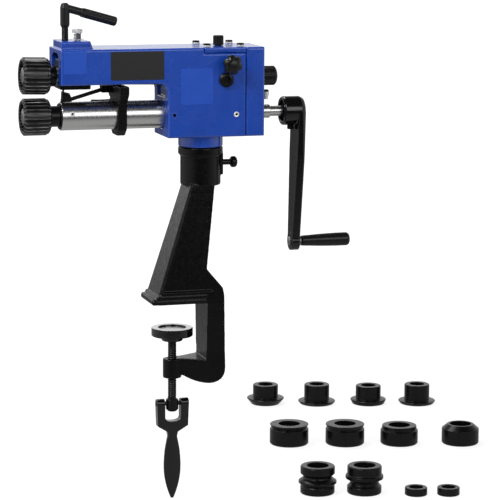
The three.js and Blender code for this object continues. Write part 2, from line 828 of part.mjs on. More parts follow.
const upperReach = (tiltX - rollerX) / Math.cos(tiltAngle);
const upperGearX = (gearX - tiltX) / Math.cos(tiltAngle);
const upperShaftStub = 0.6;
const shaftEndBore = 6.4; // wide, since the shaft's end rises and falls on the align knob's stem
const alignStemRadius = 2.5;
const sleeveOuter = 13.6;

function shaftCarrier() {
  const outline = [[-16, -20], [16, -20], [16, carrierTop], [-16, carrierTop]];
  const body = plateY(shapeOf(outline), -carrierHalf, carrierHalf, 2);
  const shaftBore = cylinderX(bore(sleeveOuter + fitGap), -20, 20);
  const trunnions = cylinderY(bore(pivotRadius + fitGap, 16), -40, 40, 16);
  return body.subtract(shaftBore).subtract(trunnions.subtract(cylinderY(30, -carrierHalf + 8, carrierHalf - 8, 8)));
}

function bearingBlock() {
  const half = channelHalf - slideGap;
  const section = new THREE.Shape();
  const r = channelFillet;
  section.moveTo(-half, blockBottom);
  section.lineTo(half, blockBottom);
  section.lineTo(half, blockTop - r);
  section.lineTo(half - r, blockTop);
  section.lineTo(-half + r, blockTop);
  section.lineTo(-half, blockTop - r);
  const body = plateX(section, blockLeft, blockLeft + blockLength, 1.2);
  const liftThread = moved(cylinderZ(bore(liftShankRadius + fitGap, 8), blockTop - 12, blockTop + 1, 8), liftX, 0, 0);
  const along = cylinderX(bore(shaftRadius + fitGap), -280, -60);
  const tilted = along.rotate([0, (tiltAngle * 180) / Math.PI, 0]);
  return body.subtract(liftThread).subtract(moved(tilted, tiltX, 0, tiltZ));
}

function liftScrew() {
  const springTop = padTop + springHeight + 2 * fitGap;
  const profile = [
    [0, blockTop - 10],
    [liftShankRadius, blockTop - 10],
    [liftShankRadius, springTop],
    [liftHeadRadius, springTop],
    [liftHeadRadius, springTop + liftHeadHeight - 1],
    [liftHeadRadius - 1, springTop + liftHeadHeight],
    [0, springTop + liftHeadHeight],
  ];
  return solid(turned(profile, 16));
}

// The lift spring is one unbroken tube along a helix, with 5 sides and 8 steps a turn.
function springTube() {
  const steps = springTurns * 8;
  const sides = 5;
  const pitch = (springHeight - 2 * springWire) / springTurns;
  const rings = [];
  for (let i = 0; i <= steps; i++) {
    const angle = (i / 8) * 2 * Math.PI;
    const z = springWire + (pitch * i) / 8;
    const ring = [];
    for (let s = 0; s < sides; s++) {
      const turn = (s / sides) * 2 * Math.PI;
      const r = springRadius + springWire * Math.cos(turn);
      ring.push([r * Math.cos(angle), r * Math.sin(angle), z + springWire * Math.sin(turn)]);
    }
    rings.push(ring);
  }
  console.log("lift spring: least gap between turns", (pitch - 2 * springWire).toFixed(2), "mm");
  return solid(loft(rings));
}

// A closed skin over rings of points, with a flat fan over each end.
function loft(rings) {
  const count = rings[0].length;
  const middle = (ring) => [0, 1, 2].map((k) => ring.reduce((sum, p) => sum + p[k], 0) / count);
  const corners = [];
  for (let i = 0; i + 1 < rings.length; i++) {
    for (let s = 0; s < count; s++) {
      const t = (s + 1) % count;
      corners.push(rings[i][s], rings[i][t], rings[i + 1][t]);
      corners.push(rings[i][s], rings[i + 1][t], rings[i + 1][s]);
    }
  }
  const [start, end] = [rings[0], rings[rings.length - 1]];
  for (let s = 0; s < count; s++) {
    const t = (s + 1) % count;
    corners.push(middle(start), start[t], start[s]);
    corners.push(middle(end), end[s], end[t]);
  }
  const geometry = new THREE.BufferGeometry();
  geometry.setAttribute("position", new THREE.Float32BufferAttribute(corners.flat(), 3));
  return geometry;
}

piece("shaft_carrier", shaftCarrier(), castBlack, carriage);
piece("bearing_block", bearingBlock(), castBlack, head);
piece("lift_screw", liftScrew(), zinc, head).position.set(liftX, 0, 0);
piece("lift_spring", springTube(), zinc, head).position.set(liftX, 0, padTop + fitGap);

// What turns: shafts, gears, rollers and their nuts. Profiles run along X.

function gearOutline() {
  const pitchRadius = (gearModule * gearTeeth) / 2;
  const tip = pitchRadius + gearModule * 0.95;
  const root = pitchRadius - gearModule * 1.25;
  const step = (2 * Math.PI) / gearTeeth;
  const points = [];
  for (let i = 0; i < gearTeeth; i++) {
    const centre = i * step;
    for (const [radius, share] of [[root, -0.35], [tip, -0.11], [tip, 0.11], [root, 0.35]]) {
      const angle = centre + share * step;
      points.push([radius * Math.cos(angle), radius * Math.sin(angle)]);
    }
  }
  return shapeOf(points);
}

function spurGear(centre, phase) {
  const teeth = plateX(gearOutline(), centre - gearFace / 2, centre + gearFace / 2);
  const turnedTeeth = teeth.rotate([(phase * 180) / Math.PI, 0, 0]);
  return turnedTeeth.subtract(cylinderX(bore(gearSeatRadius + fitGap), centre - gearFace, centre + gearFace));
}

function flutedOutline() {
  const points = [];
  const step = (2 * Math.PI) / rollerFlutes;
  for (let i = 0; i < rollerFlutes; i++) {
    for (const [radius, share] of [[rollerRadius, 0], [rollerRadius, 0.62], [rollerRadius - fluteDepth, 0.81]]) {
      const angle = (i + share) * step;
      points.push([radius * Math.cos(angle), radius * Math.sin(angle)]);
    }
  }
  return shapeOf(points);
}

function roller(centre) {
  const left = centre - rollerWidth / 2;
  const shoulder = centre + rollerWidth / 2;
  const right = shoulder + rollerTail;
  const recessX = left + rollerRecessDepth;
  const noseBore = bore(noseRadius + fitGap);
  const envelope = [
    [left, rollerRecessRadius + 1],
    [left, rollerRadius - 3],
    [left + 2.5, rollerRadius + 0.2],
    [shoulder - 1.2, rollerRadius + 0.2],
    [shoulder, rollerTailRadius],
    [right - 2, rollerTailRadius - 0.4],
    [right, rollerTailRadius - 3],
    [right, noseBore],
    [recessX, noseBore],
    [recessX, rollerRecessRadius],
    [left + 1, rollerRecessRadius],
  ];
  return plateX(flutedOutline(), left - 1, right + 1).intersect(solid(turnedX(envelope, rollerFlutes)));
}

function domedNut(centre) {
  const seat = centre - rollerWidth / 2 + rollerRecessDepth - fitGap;
  const hexagon = new THREE.Shape();
  for (let i = 0; i < 6; i++) {
    const angle = (i * Math.PI) / 3;
    hexagon.lineTo(12 * Math.cos(angle), 12 * Math.sin(angle));
  }
  const dome = [[seat, 0], [seat, 13.5], [seat - 1.5, 13.5], [seat - 4.5, 11], [seat - 6.6, 6.5], [seat - 7.2, 0]];
  const outside = plateX(hexagon, seat - 10, seat + 1).intersect(solid(turnedX(dome, 18)));
  return outside.subtract(cylinderX(bore(threadRadius + fitGap, 16), seat - 4, seat + 2, 16));
}

const threadRadius = 7;

function noseProfile(centre) {
  const recessX = centre - rollerWidth / 2 + rollerRecessDepth;
  const shoulder = centre + rollerWidth / 2 + rollerTail;
  return [
    [recessX - 3.6, 0],
    [recessX - 3.6, threadRadius],
    [recessX + fitGap, threadRadius],
    [recessX + fitGap, noseRadius],
    [shoulder, noseRadius],
    [shoulder, shaftRadius],
  ];
}

const gearSeatLeft = gearX - gearFace / 2 - fitGap;

function lowerShaft() {
  const end = crankHubLeft + crankHubLength - 2;
  const tail = [
    [gearSeatLeft, shaftRadius],
    [gearSeatLeft, gearSeatRadius],
    [gearX + gearFace / 2 + 1, gearSeatRadius],
    [gearX + gearFace / 2 + 1, crankEndRadius],
    [end, crankEndRadius],
    [end, 0],
  ];
  return solid(turnedX([...noseProfile(rollerX), ...tail]));
}

function upperShaft() {
  const seat = upperGearX - gearFace / 2 - fitGap;
  const end = upperGearX + gearFace / 2 + upperShaftStub;
  const tail = [
    [seat, shaftRadius],
    [seat, gearSeatRadius],
    [end, gearSeatRadius],
    [end, shaftEndBore],
    [end - 13, shaftEndBore],
    [end - 13, 0],
  ];
  return solid(turnedX([...noseProfile(-upperReach), ...tail]));
}

function spacer(centre, to) {
  const from = centre + rollerWidth / 2 + rollerTail + fitGap;
  return ringX(shaftRadius + fitGap, spacerRadius, from, to);
}

const spin = new THREE.Group();
carriage.add(spin);
const toothStep = (2 * Math.PI) / gearTeeth;

piece("thrust_sleeve", ringX(shaftRadius + fitGap, sleeveOuter, -18, 18), bronze, carriage);
piece("upper_shaft", upperShaft(), steel, spin);
piece("upper_gear", spurGear(upperGearX, toothStep / 2), blackSteel, spin);
piece("upper_roller", roller(-upperReach), blackSteel, spin);
piece("upper_roller_nut", domedNut(-upperReach), steel, spin);
piece("upper_spacer", spacer(-upperReach, blockLeft - tiltX - axialPlay - 0.9), blackSteel, spin);

const drive = new THREE.Group();
head.add(drive);

piece("lower_shaft", lowerShaft(), steel, drive);
piece("lower_gear", spurGear(gearX, 0), blackSteel, drive);
piece("lower_roller", roller(rollerX), blackSteel, drive);
piece("lower_roller_nut", domedNut(rollerX), steel, drive);
piece("lower_spacer", spacer(rollerX, tubeEndX - bushFlange - 2 * fitGap), blackSteel, drive);
piece("shaft_collar", ringX(crankEndRadius + fitGap, 9.6, coverX + fitGap, 98.8), steel, drive);

// Crank and its turning grip

const crankHubRight = crankHubLeft + crankHubLength;
const tipLeftX = crankHubRight - crankArmThickness - crankLean;
const tipRightX = crankHubRight - crankLean + 0.5;
const setScrewX = crankHubLeft + setScrewInset;

function crankArm() {
  const half = [
    [crankHubRadius, 0],
    [crankMiddleHalf, -crankMiddle],
    [crankTipHalf, -crankRadius],
  ];
  const taper = shapeOf([...half, ...half.map(([y, z]) => [-y, z]).reverse()]);
  const lean = new THREE.Matrix4().makeShear(0, 0, 0, 0, crankLean / crankRadius, 0);
  const web = plateX(taper, crankHubRight - crankArmThickness, crankHubRight, 1.5).transform(lean.elements);
  const tip = moved(cylinderX(crankTipHalf + 1, tipLeftX, tipRightX, 24), 0, 0, -crankRadius);
  const hub = [
    [crankHubLeft, 0],
    [crankHubLeft, crankHubRadius - 1.5],
    [crankHubLeft + 1.5, crankHubRadius],
    [crankHubRight - crankHubRound, crankHubRadius],
    [crankHubRight - crankHubRound / 4, crankHubRadius - crankHubRound / 3],
    [crankHubRight, crankHubRadius - crankHubRound],
    [crankHubRight, 0],
  ];
  const cup = cylinderX(crankCupRadius, crankHubLeft - 1, crankHubLeft + crankCupDepth, 22);
  const shaftBore = cylinderX(bore(crankEndRadius + fitGap), crankHubLeft - 1, crankHubRight - 1.5);
  const studBore = moved(cylinderX(bore(studRadius + fitGap, 12), tipLeftX - 1, tipRightX + 1, 12), 0, 0, -crankRadius);
  const setBore = moved(cylinderZ(bore(setScrewRadius + fitGap, 12), -crankHubRadius - 5, 0, 12), setScrewX, 0, 0);
  return joined(web, tip, solid(turnedX(hub, 22))).subtract(cup).subtract(shaftBore).subtract(studBore).subtract(setBore);
}

function crankSetScrew() {
  const top = -crankEndRadius - fitGap;
  const low = -crankHubRadius - 6;
  const profile = [[0, low], [setScrewRadius - 0.8, low], [setScrewRadius, low + 1], [setScrewRadius, top], [0, top]];
  return moved(solid(turned(profile, 12)), setScrewX, 0, 0);
}

const gripLeft = tipRightX + 4.4;

function handleStud() {
  const profile = [
    [tipLeftX - 2.8, 0],
    [tipLeftX - 2.6, 3.6],
    [tipLeftX - 1.6, 6],
    [tipLeftX - fitGap, 6.6],
    [tipLeftX - fitGap, studRadius],
    [tipRightX + fitGap, studRadius],
    [tipRightX + fitGap, 7.6],
    [tipRightX + 2.4, 7.6],
    [tipRightX + 2.4, studRadius],
    [gripLeft + gripLength - 14, studRadius],
    [gripLeft + gripLength - 14, 0],
  ];
  return moved(solid(turnedX(profile, 14)), 0, 0, -crankRadius);
}

function crankGrip() {
  const hole = bore(studRadius + slideGap);
  const profile = [
    [gripLeft, hole],
    [gripLeft, gripRootRadius - 0.8],
    [gripLeft + 1, gripRootRadius],
    [gripLeft + 24, gripRootRadius + 0.4],
    [gripLeft + 52, gripEndRadius - 0.3],
    [gripLeft + gripLength - 8, gripEndRadius],
    [gripLeft + gripLength - 3, gripEndRadius - 1.6],
    [gripLeft + gripLength - 0.6, gripEndRadius - 5],
    [gripLeft + gripLength, 0],
    [gripLeft + gripLength - 12, 0],
    [gripLeft + gripLength - 12, hole],
  ];
  return moved(solid(turnedX(profile)), 0, 0, -crankRadius);
}

piece("crank_arm", crankArm(), castBlack, drive);
piece("crank_set_screw", crankSetScrew(), blackSteel, drive);
piece("handle_stud", handleStud(), zinc, drive);
piece("crank_grip", crankGrip(), blackPlastic, drive);

// Pressure screw: a pad that only rises and falls, and the screw and handle that turn on it

const pressTip = blockTop + fitGap + pressPadHeight;

function pressPad() {
  const low = blockTop + fitGap + 0.3;
  const socket = bore(pressRadius - 1 + slideGap, 16);
  const profile = [
    [0, low],
    [pressPadRadius - 1, low],
    [pressPadRadius, low + 1],
    [pressPadRadius, low + pressPadHeight],
    [socket, low + pressPadHeight],
    [socket, low + 2],
    [0, low + 2],
  ];
  return moved(solid(turned(profile, 20)), pressX, 0, 0);
}

function pressScrew() {
  const low = blockTop + fitGap + 0.3 + 2 + fitGap;
  const profile = [
    [0, low],
    [pressRadius - 1, low],
    [pressRadius - 1, low + 4],
    [pressRadius, low + 5],
    [pressRadius, sleeveBottom + 12],
    [0, sleeveBottom + 12],
  ];
  return moved(solid(turned(profile, 16)), pressX, 0, 0);
}

function pressHandle() {
  const slope = Math.atan(handleFall / handleRun);
  const length = Math.hypot(handleRun, handleFall);
  const sleeve = [
    [0, sleeveBottom],
    [sleeveRadius - 1, sleeveBottom],
    [sleeveRadius, sleeveBottom + 3],
    [sleeveRadius, elbowZ + 3.5],
    [sleeveRadius - 1.6, elbowZ + 6],
    [0, elbowZ + 6.5],
  ];
  const bar = [
    [-3, 0],
    [-3, handleBarRadius],
    [18, handleBarRadius],
    [19, handleGripRadius],
    [length - 1, handleGripRadius],
    [length, handleGripRadius - 1],
    [length, 0],
  ];
  const grip = solid(turnedX(bar, 14)).rotate([0, (slope * 180) / Math.PI, 0]);
  const threadHole = cylinderZ(bore(pressRadius + fitGap, 16), sleeveBottom - 1, sleeveBottom + 12 + fitGap, 16);
  const whole = solid(turned(sleeve, 16)).add(moved(grip, 0, 0, elbowZ)).subtract(threadHole);
  return moved(whole, pressX, 0, 0);
}

piece("pressure_pad", pressPad(), blackSteel, head);
piece("pressure_screw", pressScrew(), blackSteel, head);
piece("pressure_handle", pressHandle(), blackPlastic, head);

// Work fence: a flat plate on a ring that slides along the tube, its lock lever and its swinging stop

const fence = new THREE.Group();
head.add(fence);

function fenceBracket() {
  const half = [
    [fenceTopHalf, fenceTop],
    [fenceTopHalf, fenceTop - fenceTopDeep],
    [fenceRingHalf, 16],
    [fenceRingHalf, -10],
    [fenceRingHalf - 2, -19],
    [12, fenceBottom],
  ];
  const outline = shapeOf([...half, ...half.map(([y, z]) => [-y, z]).reverse()]);
  const left = fenceX - fenceThickness / 2;
  const right = fenceX + fenceThickness / 2;
  const plate = plateX(outline, left, right, 1.2);
  const tubeHole = cylinderX(bore(tubeRadius + slideGap, 24), left - 1, right + 1, 24);
  const ear = (y0, y1) => block(rodPivotX - 5, left + 2, y0, y1, rodPivotZ - 5, rodPivotZ + 5);
  const ears = ear(rodY - 6.5, rodY - 3).add(ear(rodY + 3, rodY + 6.5));
  const pinHole = moved(cylinderY(bore(rodRadius + fitGap, 12), rodY - 8, rodY + 8, 12), rodPivotX, 0, rodPivotZ);
  const nut = moved(cylinderX(4.2, right - 1, right + 9, 6), 0, rodY, rodPivotZ);
  const leverHole = moved(cylinderY(bore(3 + fitGap, 12), fenceRingHalf - 8, fenceRingHalf + 20, 12), fenceX, 0, leverZ);
  const leverSeat = moved(cylinderY(34, fenceRingHalf, fenceTopHalf + 1, 24), fenceX, 0, leverZ)
    .intersect(block(left - 1, right + 1, fenceRingHalf, fenceTopHalf + 1, leverZ - 7, leverZ + 7));
  const shaftNotch = moved(cylinderX(shaftRadius + 3, left - 1, right + 1), 0, 0, tiltZ + 3.5);
  return joined(plate, ears, nut)
    .subtract(tubeHole)
    .subtract(pinHole)
    .subtract(leverHole)
    .subtract(leverSeat)
    .subtract(shaftNotch);
}

const leverZ = 16;

function fenceLever() {
  const y = fenceRingHalf + 3.2;
  const stud = cylinderY(3, y - 7.5, y + 9, 12);
  const hub = cylinderY(5, y, y + 9, 14);
  const arm = [[0, -2.6], [0, 2.6], [-20, 2], [-30, 2.4], [-31.5, 0], [-30, -2.4], [-20, -2]];
  const blade = plateY(shapeOf(arm), y + 4.5, y + 8.5);
  return joined(stud, hub, blade);
}

function stopRod() {
  const eye = cylinderY(4.6, rodY - 2.5, rodY + 2.5, 14);
  const pin = cylinderY(rodRadius, rodY - 7, rodY + 7, 12);
  const bar = cylinderX(rodRadius, -rodLength - 3, 0, 10).rotate([0, -rodSlope, 0]);
  const endX = -rodLength * Math.cos((rodSlope * Math.PI) / 180);
  const endZ = -rodLength * Math.sin((rodSlope * Math.PI) / 180);
  const body = [
    [endX + 2, endZ - 6],
    [endX - 8, endZ - 6],
    [endX - 11.5, endZ + 0.5],
    [endX - 11, endZ + 11.5],
    [endX - 1, endZ + 9],
    [endX + 2, endZ + 2],
  ];
  const foot = plateY(shapeOf(body), rodY - 5.5, rodY + 5.5, 0.8);
  const stalk = moved(cylinderZ(1.5, endZ + 8, endZ + 17, 8), endX - 9, rodY, 0);
  return joined(eye, pin, moved(bar, 0, rodY, 0), foot, stalk);
}

piece("fence_bracket", fenceBracket(), castBlack, fence);
piece("fence_lock_lever", fenceLever(), blackSteel, fence).position.set(fenceX, 0, leverZ);
piece("stop_rod", stopRod(), blackSteel, fence).position.set(rodPivotX, 0, rodPivotZ);

// Knobs

function starKnob() {
  const outline = new THREE.Shape();
  const lobes = knobLobes;
  for (let i = 0; i < lobes * 6; i++) {
    const angle = (i / (lobes * 6)) * 2 * Math.PI;
    const radius = starRadius + starWave * Math.cos(lobes * angle);
    outline.lineTo(radius * Math.cos(angle), radius * Math.sin(angle));
  }
  const face = -headHalfDepth - 14;
  const grip = plateY(outline, face - 12, face, 1.5);
  const neck = [
    [-carrierHalf - 0.8, 0],
    [-carrierHalf - 0.8, starStudRadius],
    [-headHalfDepth - 5, starStudRadius],
    [-headHalfDepth - 5, 7.5],
    [face - 2, 6.5],
    [face - 2, 0],
  ];
  return grip.add(solid(turnedY(neck, 16)));
}

function flutedKnob(radius, flutes) {
  const outline = new THREE.Shape();
  for (let i = 0; i < flutes; i++) {
    for (const [r, share] of [[radius, 0], [radius, 0.55], [radius - 0.9, 0.78]]) {
      const angle = ((i + share) / flutes) * 2 * Math.PI;
      outline.lineTo(r * Math.cos(angle), r * Math.sin(angle));
    }
  }
  return outline;
}

function alignKnob() {
  const left = coverX + alignNeck;
  const right = left + alignLength;
  const r = alignRadius + 0.3;
  const body = plateX(flutedKnob(alignRadius, 14), left, right).intersect(
    solid(turnedX([[left, 0], [left, r - 1.4], [left + 1.5, r], [right - 2, r], [right, r - 2.4], [right, 0]], 14)),
  );
  const stem = [
    [shaftEndX - 7, 0],
    [shaftEndX - 7, alignStemRadius],
    [coverX - coverWall - 0.6, alignStemRadius],
    [coverX - coverWall - 0.6, alignNeckRadius],
    [coverX + fitGap, alignNeckRadius],
    [coverX + fitGap, 8],
    [left + 1, 8],
    [left + 1, 0],
  ];
  return moved(body.add(solid(turnedX(stem, 16))), 0, 0, alignZ);
}

const shaftEndX = tiltX + (upperGearX + gearFace / 2 + upperShaftStub) * Math.cos(tiltAngle);

function topKnob() {
  const low = headRise + 0.5;
  const body = plateZ(flutedKnob(7.3, 10), low, low + 13.5).intersect(
    solid(turned([[0, low], [6.6, low], [7.4, low + 1], [7.4, low + 12], [6, low + 13.5], [0, low + 13.5]], 10)),
  );
  const studTip = tiltZ + carrierTop + 0.9;
  return body.add(cylinderZ(4, studTip, low + 1, 12));
}

piece("star_knob", starKnob(), blackPlastic, head).position.set(starX, 0, starZ);
piece("align_knob", alignKnob(), blackPlastic, head);
piece("top_knob", topKnob(), blackPlastic, head).position.set(tiltX, 0, 0);

// Interchangeable rolls and spacer rings, standing in three rows beside the machine

const clampTravelDown = 21;
const floorZ = handleTipZ - clampTravelDown - 0.5;

function standingRoll(profile, segments = 18) {
  return solid(turned(profile, segments));
}

// The flange is widest some way up, over a bevelled foot.
function flangedRoll(foot, radius, edgeZ, height) {
  const profile = [
    [rollBore, 0],
    [foot, 0],
    [radius, edgeZ],
    [radius - 0.6, edgeZ + 1.2],
    [21.3, edgeZ + 2],
    [21.3, height - 1],
    [20.3, height],
    [12.5, height],
    [12.5, 22],
    [rollBore, 22],
  ];
  return standingRoll(profile);
}

function wideRoll(edge) {
  const body = edge[0][0];
  const top = edge[edge.length - 1][1];
  return standingRoll([[rollBore, 0], [body - 1.8, 0], [body, 2], ...edge, [17, top], [17, 20], [rollBore, 20]]);
}

const wideEdges = [
  [[30.7, 24.6], [27.8, 26.8], [30.7, 31.4], [30.2, 32.3]],
  [[30.8, 23.8], [28.6, 26], [30.8, 31.2], [30.2, 32.3]],
  [[29.7, 21.8], [27.6, 24], [27.2, 29], [26.6, 29.6]],
  [[29.4, 24], [20.9, 31.2]],
];

function doubleRoll(edge) {
  return standingRoll([[rollBore, 0], [24, 0], [25.2, 1.5], ...edge, [25.2, 39.8], [24, 41.3], [15.9, 41.3], [15.9, 28], [rollBore, 28]]);
}

const doubleEdges = [
  [[25.2, 10.5], [23.8, 12], [25.6, 13.8], [27.9, 16], [27.9, 18.8], [21.6, 23.2], [20.8, 26], [25.2, 30]],
  [[25.2, 10.3], [21.6, 14], [21, 17], [22.4, 19.6], [27.7, 22], [27.7, 26.2], [25.2, 28.8]],
];

function spacerRing() {
  return standingRoll([[rollBore, 0], [15.6, 0], [16.4, 0.8], [16.4, 10.5], [15.6, 11.3], [rollBore, 11.3]]);
}

function placeRow({ x, y, along }, names, makers) {
  const row = new THREE.Group();
  row.position.set(x, y, floorZ);
  row.rotation.z = rowTurn;
  object.add(row);
  names.forEach((name, i) => {
    piece(name, makers[i](), blackSteel, row).position.set(along[i], 0, 0);
  });
}

const numbered = (stem, count) => Array.from({ length: count }, (_, i) => stem + "_" + (i + 1));

placeRow(flangedRow, numbered("flanged_roll", 4), [
  () => flangedRoll(23.5, 31.7, 9.6, 33.4),
  () => flangedRoll(28, 31.7, 4.2, 33.5),
  () => flangedRoll(27, 30.4, 6.6, 31.2),
  () => flangedRoll(28, 31.5, 4.2, 33.2),
]);
placeRow(wideRow, numbered("wide_roll", 4), wideEdges.map((edge) => () => wideRoll(edge)));
placeRow(doubleRow, numbered("double_roll", 2), doubleEdges.map((edge) => () => doubleRoll(edge)));
placeRow(ringRow, numbered("spacer_ring", 2), [spacerRing, spacerRing]);

export default object;
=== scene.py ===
import json
import math
import bmesh
import bpy
from mathutils import Matrix, Vector


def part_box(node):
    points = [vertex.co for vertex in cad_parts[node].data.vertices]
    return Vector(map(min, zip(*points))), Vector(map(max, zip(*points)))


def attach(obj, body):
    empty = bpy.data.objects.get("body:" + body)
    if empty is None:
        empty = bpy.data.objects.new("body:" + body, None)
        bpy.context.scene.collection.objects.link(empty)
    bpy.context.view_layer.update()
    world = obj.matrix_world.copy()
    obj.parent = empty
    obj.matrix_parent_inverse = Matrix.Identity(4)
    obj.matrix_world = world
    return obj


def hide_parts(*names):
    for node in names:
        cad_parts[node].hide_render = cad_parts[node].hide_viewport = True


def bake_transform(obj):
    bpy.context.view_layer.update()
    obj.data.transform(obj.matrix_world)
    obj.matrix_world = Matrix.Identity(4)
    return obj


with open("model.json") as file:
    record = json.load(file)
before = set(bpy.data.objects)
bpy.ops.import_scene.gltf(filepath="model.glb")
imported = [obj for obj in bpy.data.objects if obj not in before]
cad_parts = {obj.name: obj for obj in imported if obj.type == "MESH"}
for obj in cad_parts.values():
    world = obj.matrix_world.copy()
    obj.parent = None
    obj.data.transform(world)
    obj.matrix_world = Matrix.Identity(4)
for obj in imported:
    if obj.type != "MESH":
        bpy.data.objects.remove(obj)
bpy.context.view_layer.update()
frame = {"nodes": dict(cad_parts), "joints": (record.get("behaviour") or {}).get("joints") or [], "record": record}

# Sizes here are in millimetres, in the frame of the part. show() turns a finished piece into metres.
perMetre = 1000
joints = {joint["name"]: joint for joint in frame["joints"]}
bodyOf = {node: body for body, nodes in frame["record"]["behaviour"]["bodies"].items() for node in nodes}
upward = (0, 0, 1)
toCrank = (1, 0, 0)
toViewer = (0, -1, 0)


def place(joint):
    return Vector(joints[joint]["pos_m"]) * perMetre


def span(node):
    low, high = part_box(node)
    return low * perMetre, high * perMetre


def middle(node):
    low, high = span(node)
    return (low + high) / 2


def onDrive(x):
    return (x, 0, driveAxis.z)


swivel = place("head_swivel")
driveAxis = place("drive_turn")
trunnion = place("upper_tilt")
upperLine = Vector(joints["upper_shift"]["axis"])
pressAxis = place("pressure_turn")


# Shader maths

class Wire:
    def __init__(self, board, socket):
        self.board = board
        self.socket = socket

    def __add__(self, other):
        return self.board.maths("ADD", self, other)

    def __sub__(self, other):
        return self.board.maths("SUBTRACT", self, other)

    def __rsub__(self, other):
        return self.board.maths("SUBTRACT", other, self)

    def __mul__(self, other):
        return self.board.maths("MULTIPLY", self, other)

    def __truediv__(self, other):
        return self.board.maths("DIVIDE", self, other)

    __radd__ = __add__
    __rmul__ = __mul__


class Board:
    def __init__(self, name, world=None):
        self.material = None if world else bpy.data.materials.new(name)
        owner = world or self.material
        owner.use_nodes = True
        self.tree = owner.node_tree
        self.tree.nodes.clear()

    def node(self, kind, settings=None, values=None):
        node = self.tree.nodes.new(kind)
        for key, value in (settings or {}).items():
            setattr(node, key, value)
        for key, value in (values or {}).items():
            socket = self.find(node.inputs, key)
            if isinstance(value, Wire):
                self.tree.links.new(value.socket, socket)
            else:
                socket.default_value = value
        return node

    def find(self, sockets, key):
        if isinstance(key, int):
            return sockets[key]
        return next(socket for socket in sockets if socket.enabled and socket.name == key)

    def out(self, node, key=0):
        return Wire(self, self.find(node.outputs, key))

    def maths(self, operation, *values):
        return self.out(self.node("ShaderNodeMath", {"operation": operation}, dict(enumerate(values))))

    def vectors(self, operation, *values):
        return self.node("ShaderNodeVectorMath", {"operation": operation}, dict(enumerate(values)))

    def limited(self, value, low=0.0, high=1.0):
        return self.maths("MINIMUM", self.maths("MAXIMUM", value, low), high)

    def absolute(self, value):
        return self.maths("ABSOLUTE", value)

    # Goes from low to high with the noise
    def ramp(self, noise, low, high):
        return noise * (high - low) + low

    # Millimetres on the piece itself, so that a pattern moves with it
    def spot(self):
        metres = self.out(self.node("ShaderNodeTexCoord"), "Object")
        return self.out(self.vectors("MULTIPLY", metres, (perMetre,) * 3))

    # Millimetres round a turned piece and along its profile
    def lathe(self, stretch):
        uv = self.out(self.node("ShaderNodeUVMap", {"uv_map": "turned"}))
        return self.out(self.vectors("MULTIPLY", uv, stretch))

    # Noise from 0 to 1 whose lumps are about size millimetres wide
    def noise(self, vector, size, detail=2.0, rough=0.5):
        values = {"Vector": vector, "Scale": 1 / size, "Detail": detail, "Roughness": rough}
        return self.out(self.node("ShaderNodeTexNoise", {"normalize": True}, values), 0)

    # Noise spread out about its middle, where the settings of the finish name a contrast
    def spread(self, noise, s):
        return self.limited((noise - 0.5) * s["contrast"] + 0.5) if "contrast" in s else noise

    def blend(self, factor, first, second):
        settings = {"data_type": "RGBA", "blend_type": "MIX"}
        mix = self.node("ShaderNodeMix", settings, {"Factor": factor, "A": first, "B": second})
        return self.out(mix, "Result")

    def split(self, vector):
        axes = self.node("ShaderNodeSeparateXYZ", None, {0: vector})
        return [self.out(axes, axis) for axis in range(3)]

    def bump(self, height, depth, normal=None):
        values = {"Height": height, "Distance": depth / perMetre, "Strength": 1.0}
        if normal:
            values["Normal"] = normal
        return self.out(self.node("ShaderNodeBump", None, values))

    # The slow swell of a casting under the fine skin of its paint, each as width and depth
    def skin(self, spot, swell, fine, detail=2, rough=0.5):
        height = self.bump(self.noise(spot, swell[0], 2), swell[1])
        return self.bump(self.noise(spot, fine[0], detail, rough), fine[1], height)

    def glow(self, strength):
        return self.out(self.node("ShaderNodeEmission", None, {"Color": grey(1), "Strength": strength}))

    def mixed(self, factor, first, second):
        return self.out(self.node("ShaderNodeMixShader", None, {0: factor, 1: first, 2: second}))

    # 1 for rays that see the surface by way of a shiny or clear one
    def mirrored(self, path):
        return self.limited(self.out(path, "Is Glossy Ray") + self.out(path, "Is Transmission Ray"))

    def finish(self, values):
        shader = self.node("ShaderNodeBsdfPrincipled", None, values)
        self.node("ShaderNodeOutputMaterial", None, {"Surface": self.out(shader)})
        return self.material


def grey(value):
    return (value, value, value, 1)


print("finishes")

# The cloud and the film are widths and details of noise. The swell of the casting and the orange peel of the
# paint are widths and depths
headPaint = {
    "base": (0.0045, 0.047, 0.335, 1),
    "thin": (0.0095, 0.062, 0.400, 1),
    "cloud": (38, 3),
    "contrast": 2.0,
    "film": (18, 2),
    "roughness": (0.20, 0.34),
    "specular": 0.42,
    "coat": 0.55,
    "coatRoughness": 0.10,
    "swell": (12.0, 0.05),
    "peel": (1.7, 0.009),
}
glossPaint = {
    "base": (0.0012, 0.0012, 0.0013, 1),
    "thin": (0.0030, 0.0030, 0.0032, 1),
    "cloud": (15, 3),
    "film": (7, 3),
    "roughness": (0.13, 0.25),
    "specular": 0.28,
    "coat": 0.45,
    "coatRoughness": 0.08,
    "swell": (9.0, 0.10),
    "peel": (1.8, 0.012),
}


def coatedEnamel(name, s):
    b = Board(name)
    spot = b.spot()
    return b.finish({
        "Base Color": b.blend(b.spread(b.noise(spot, *s["cloud"]), s), s["base"], s["thin"]),
        "Roughness": b.ramp(b.noise(spot, *s["film"]), *s["roughness"]),
        "Specular IOR Level": s["specular"],
        "Coat Weight": s["coat"],
        "Coat Roughness": s["coatRoughness"],
        "Normal": b.skin(spot, s["swell"], s["peel"]),
    })


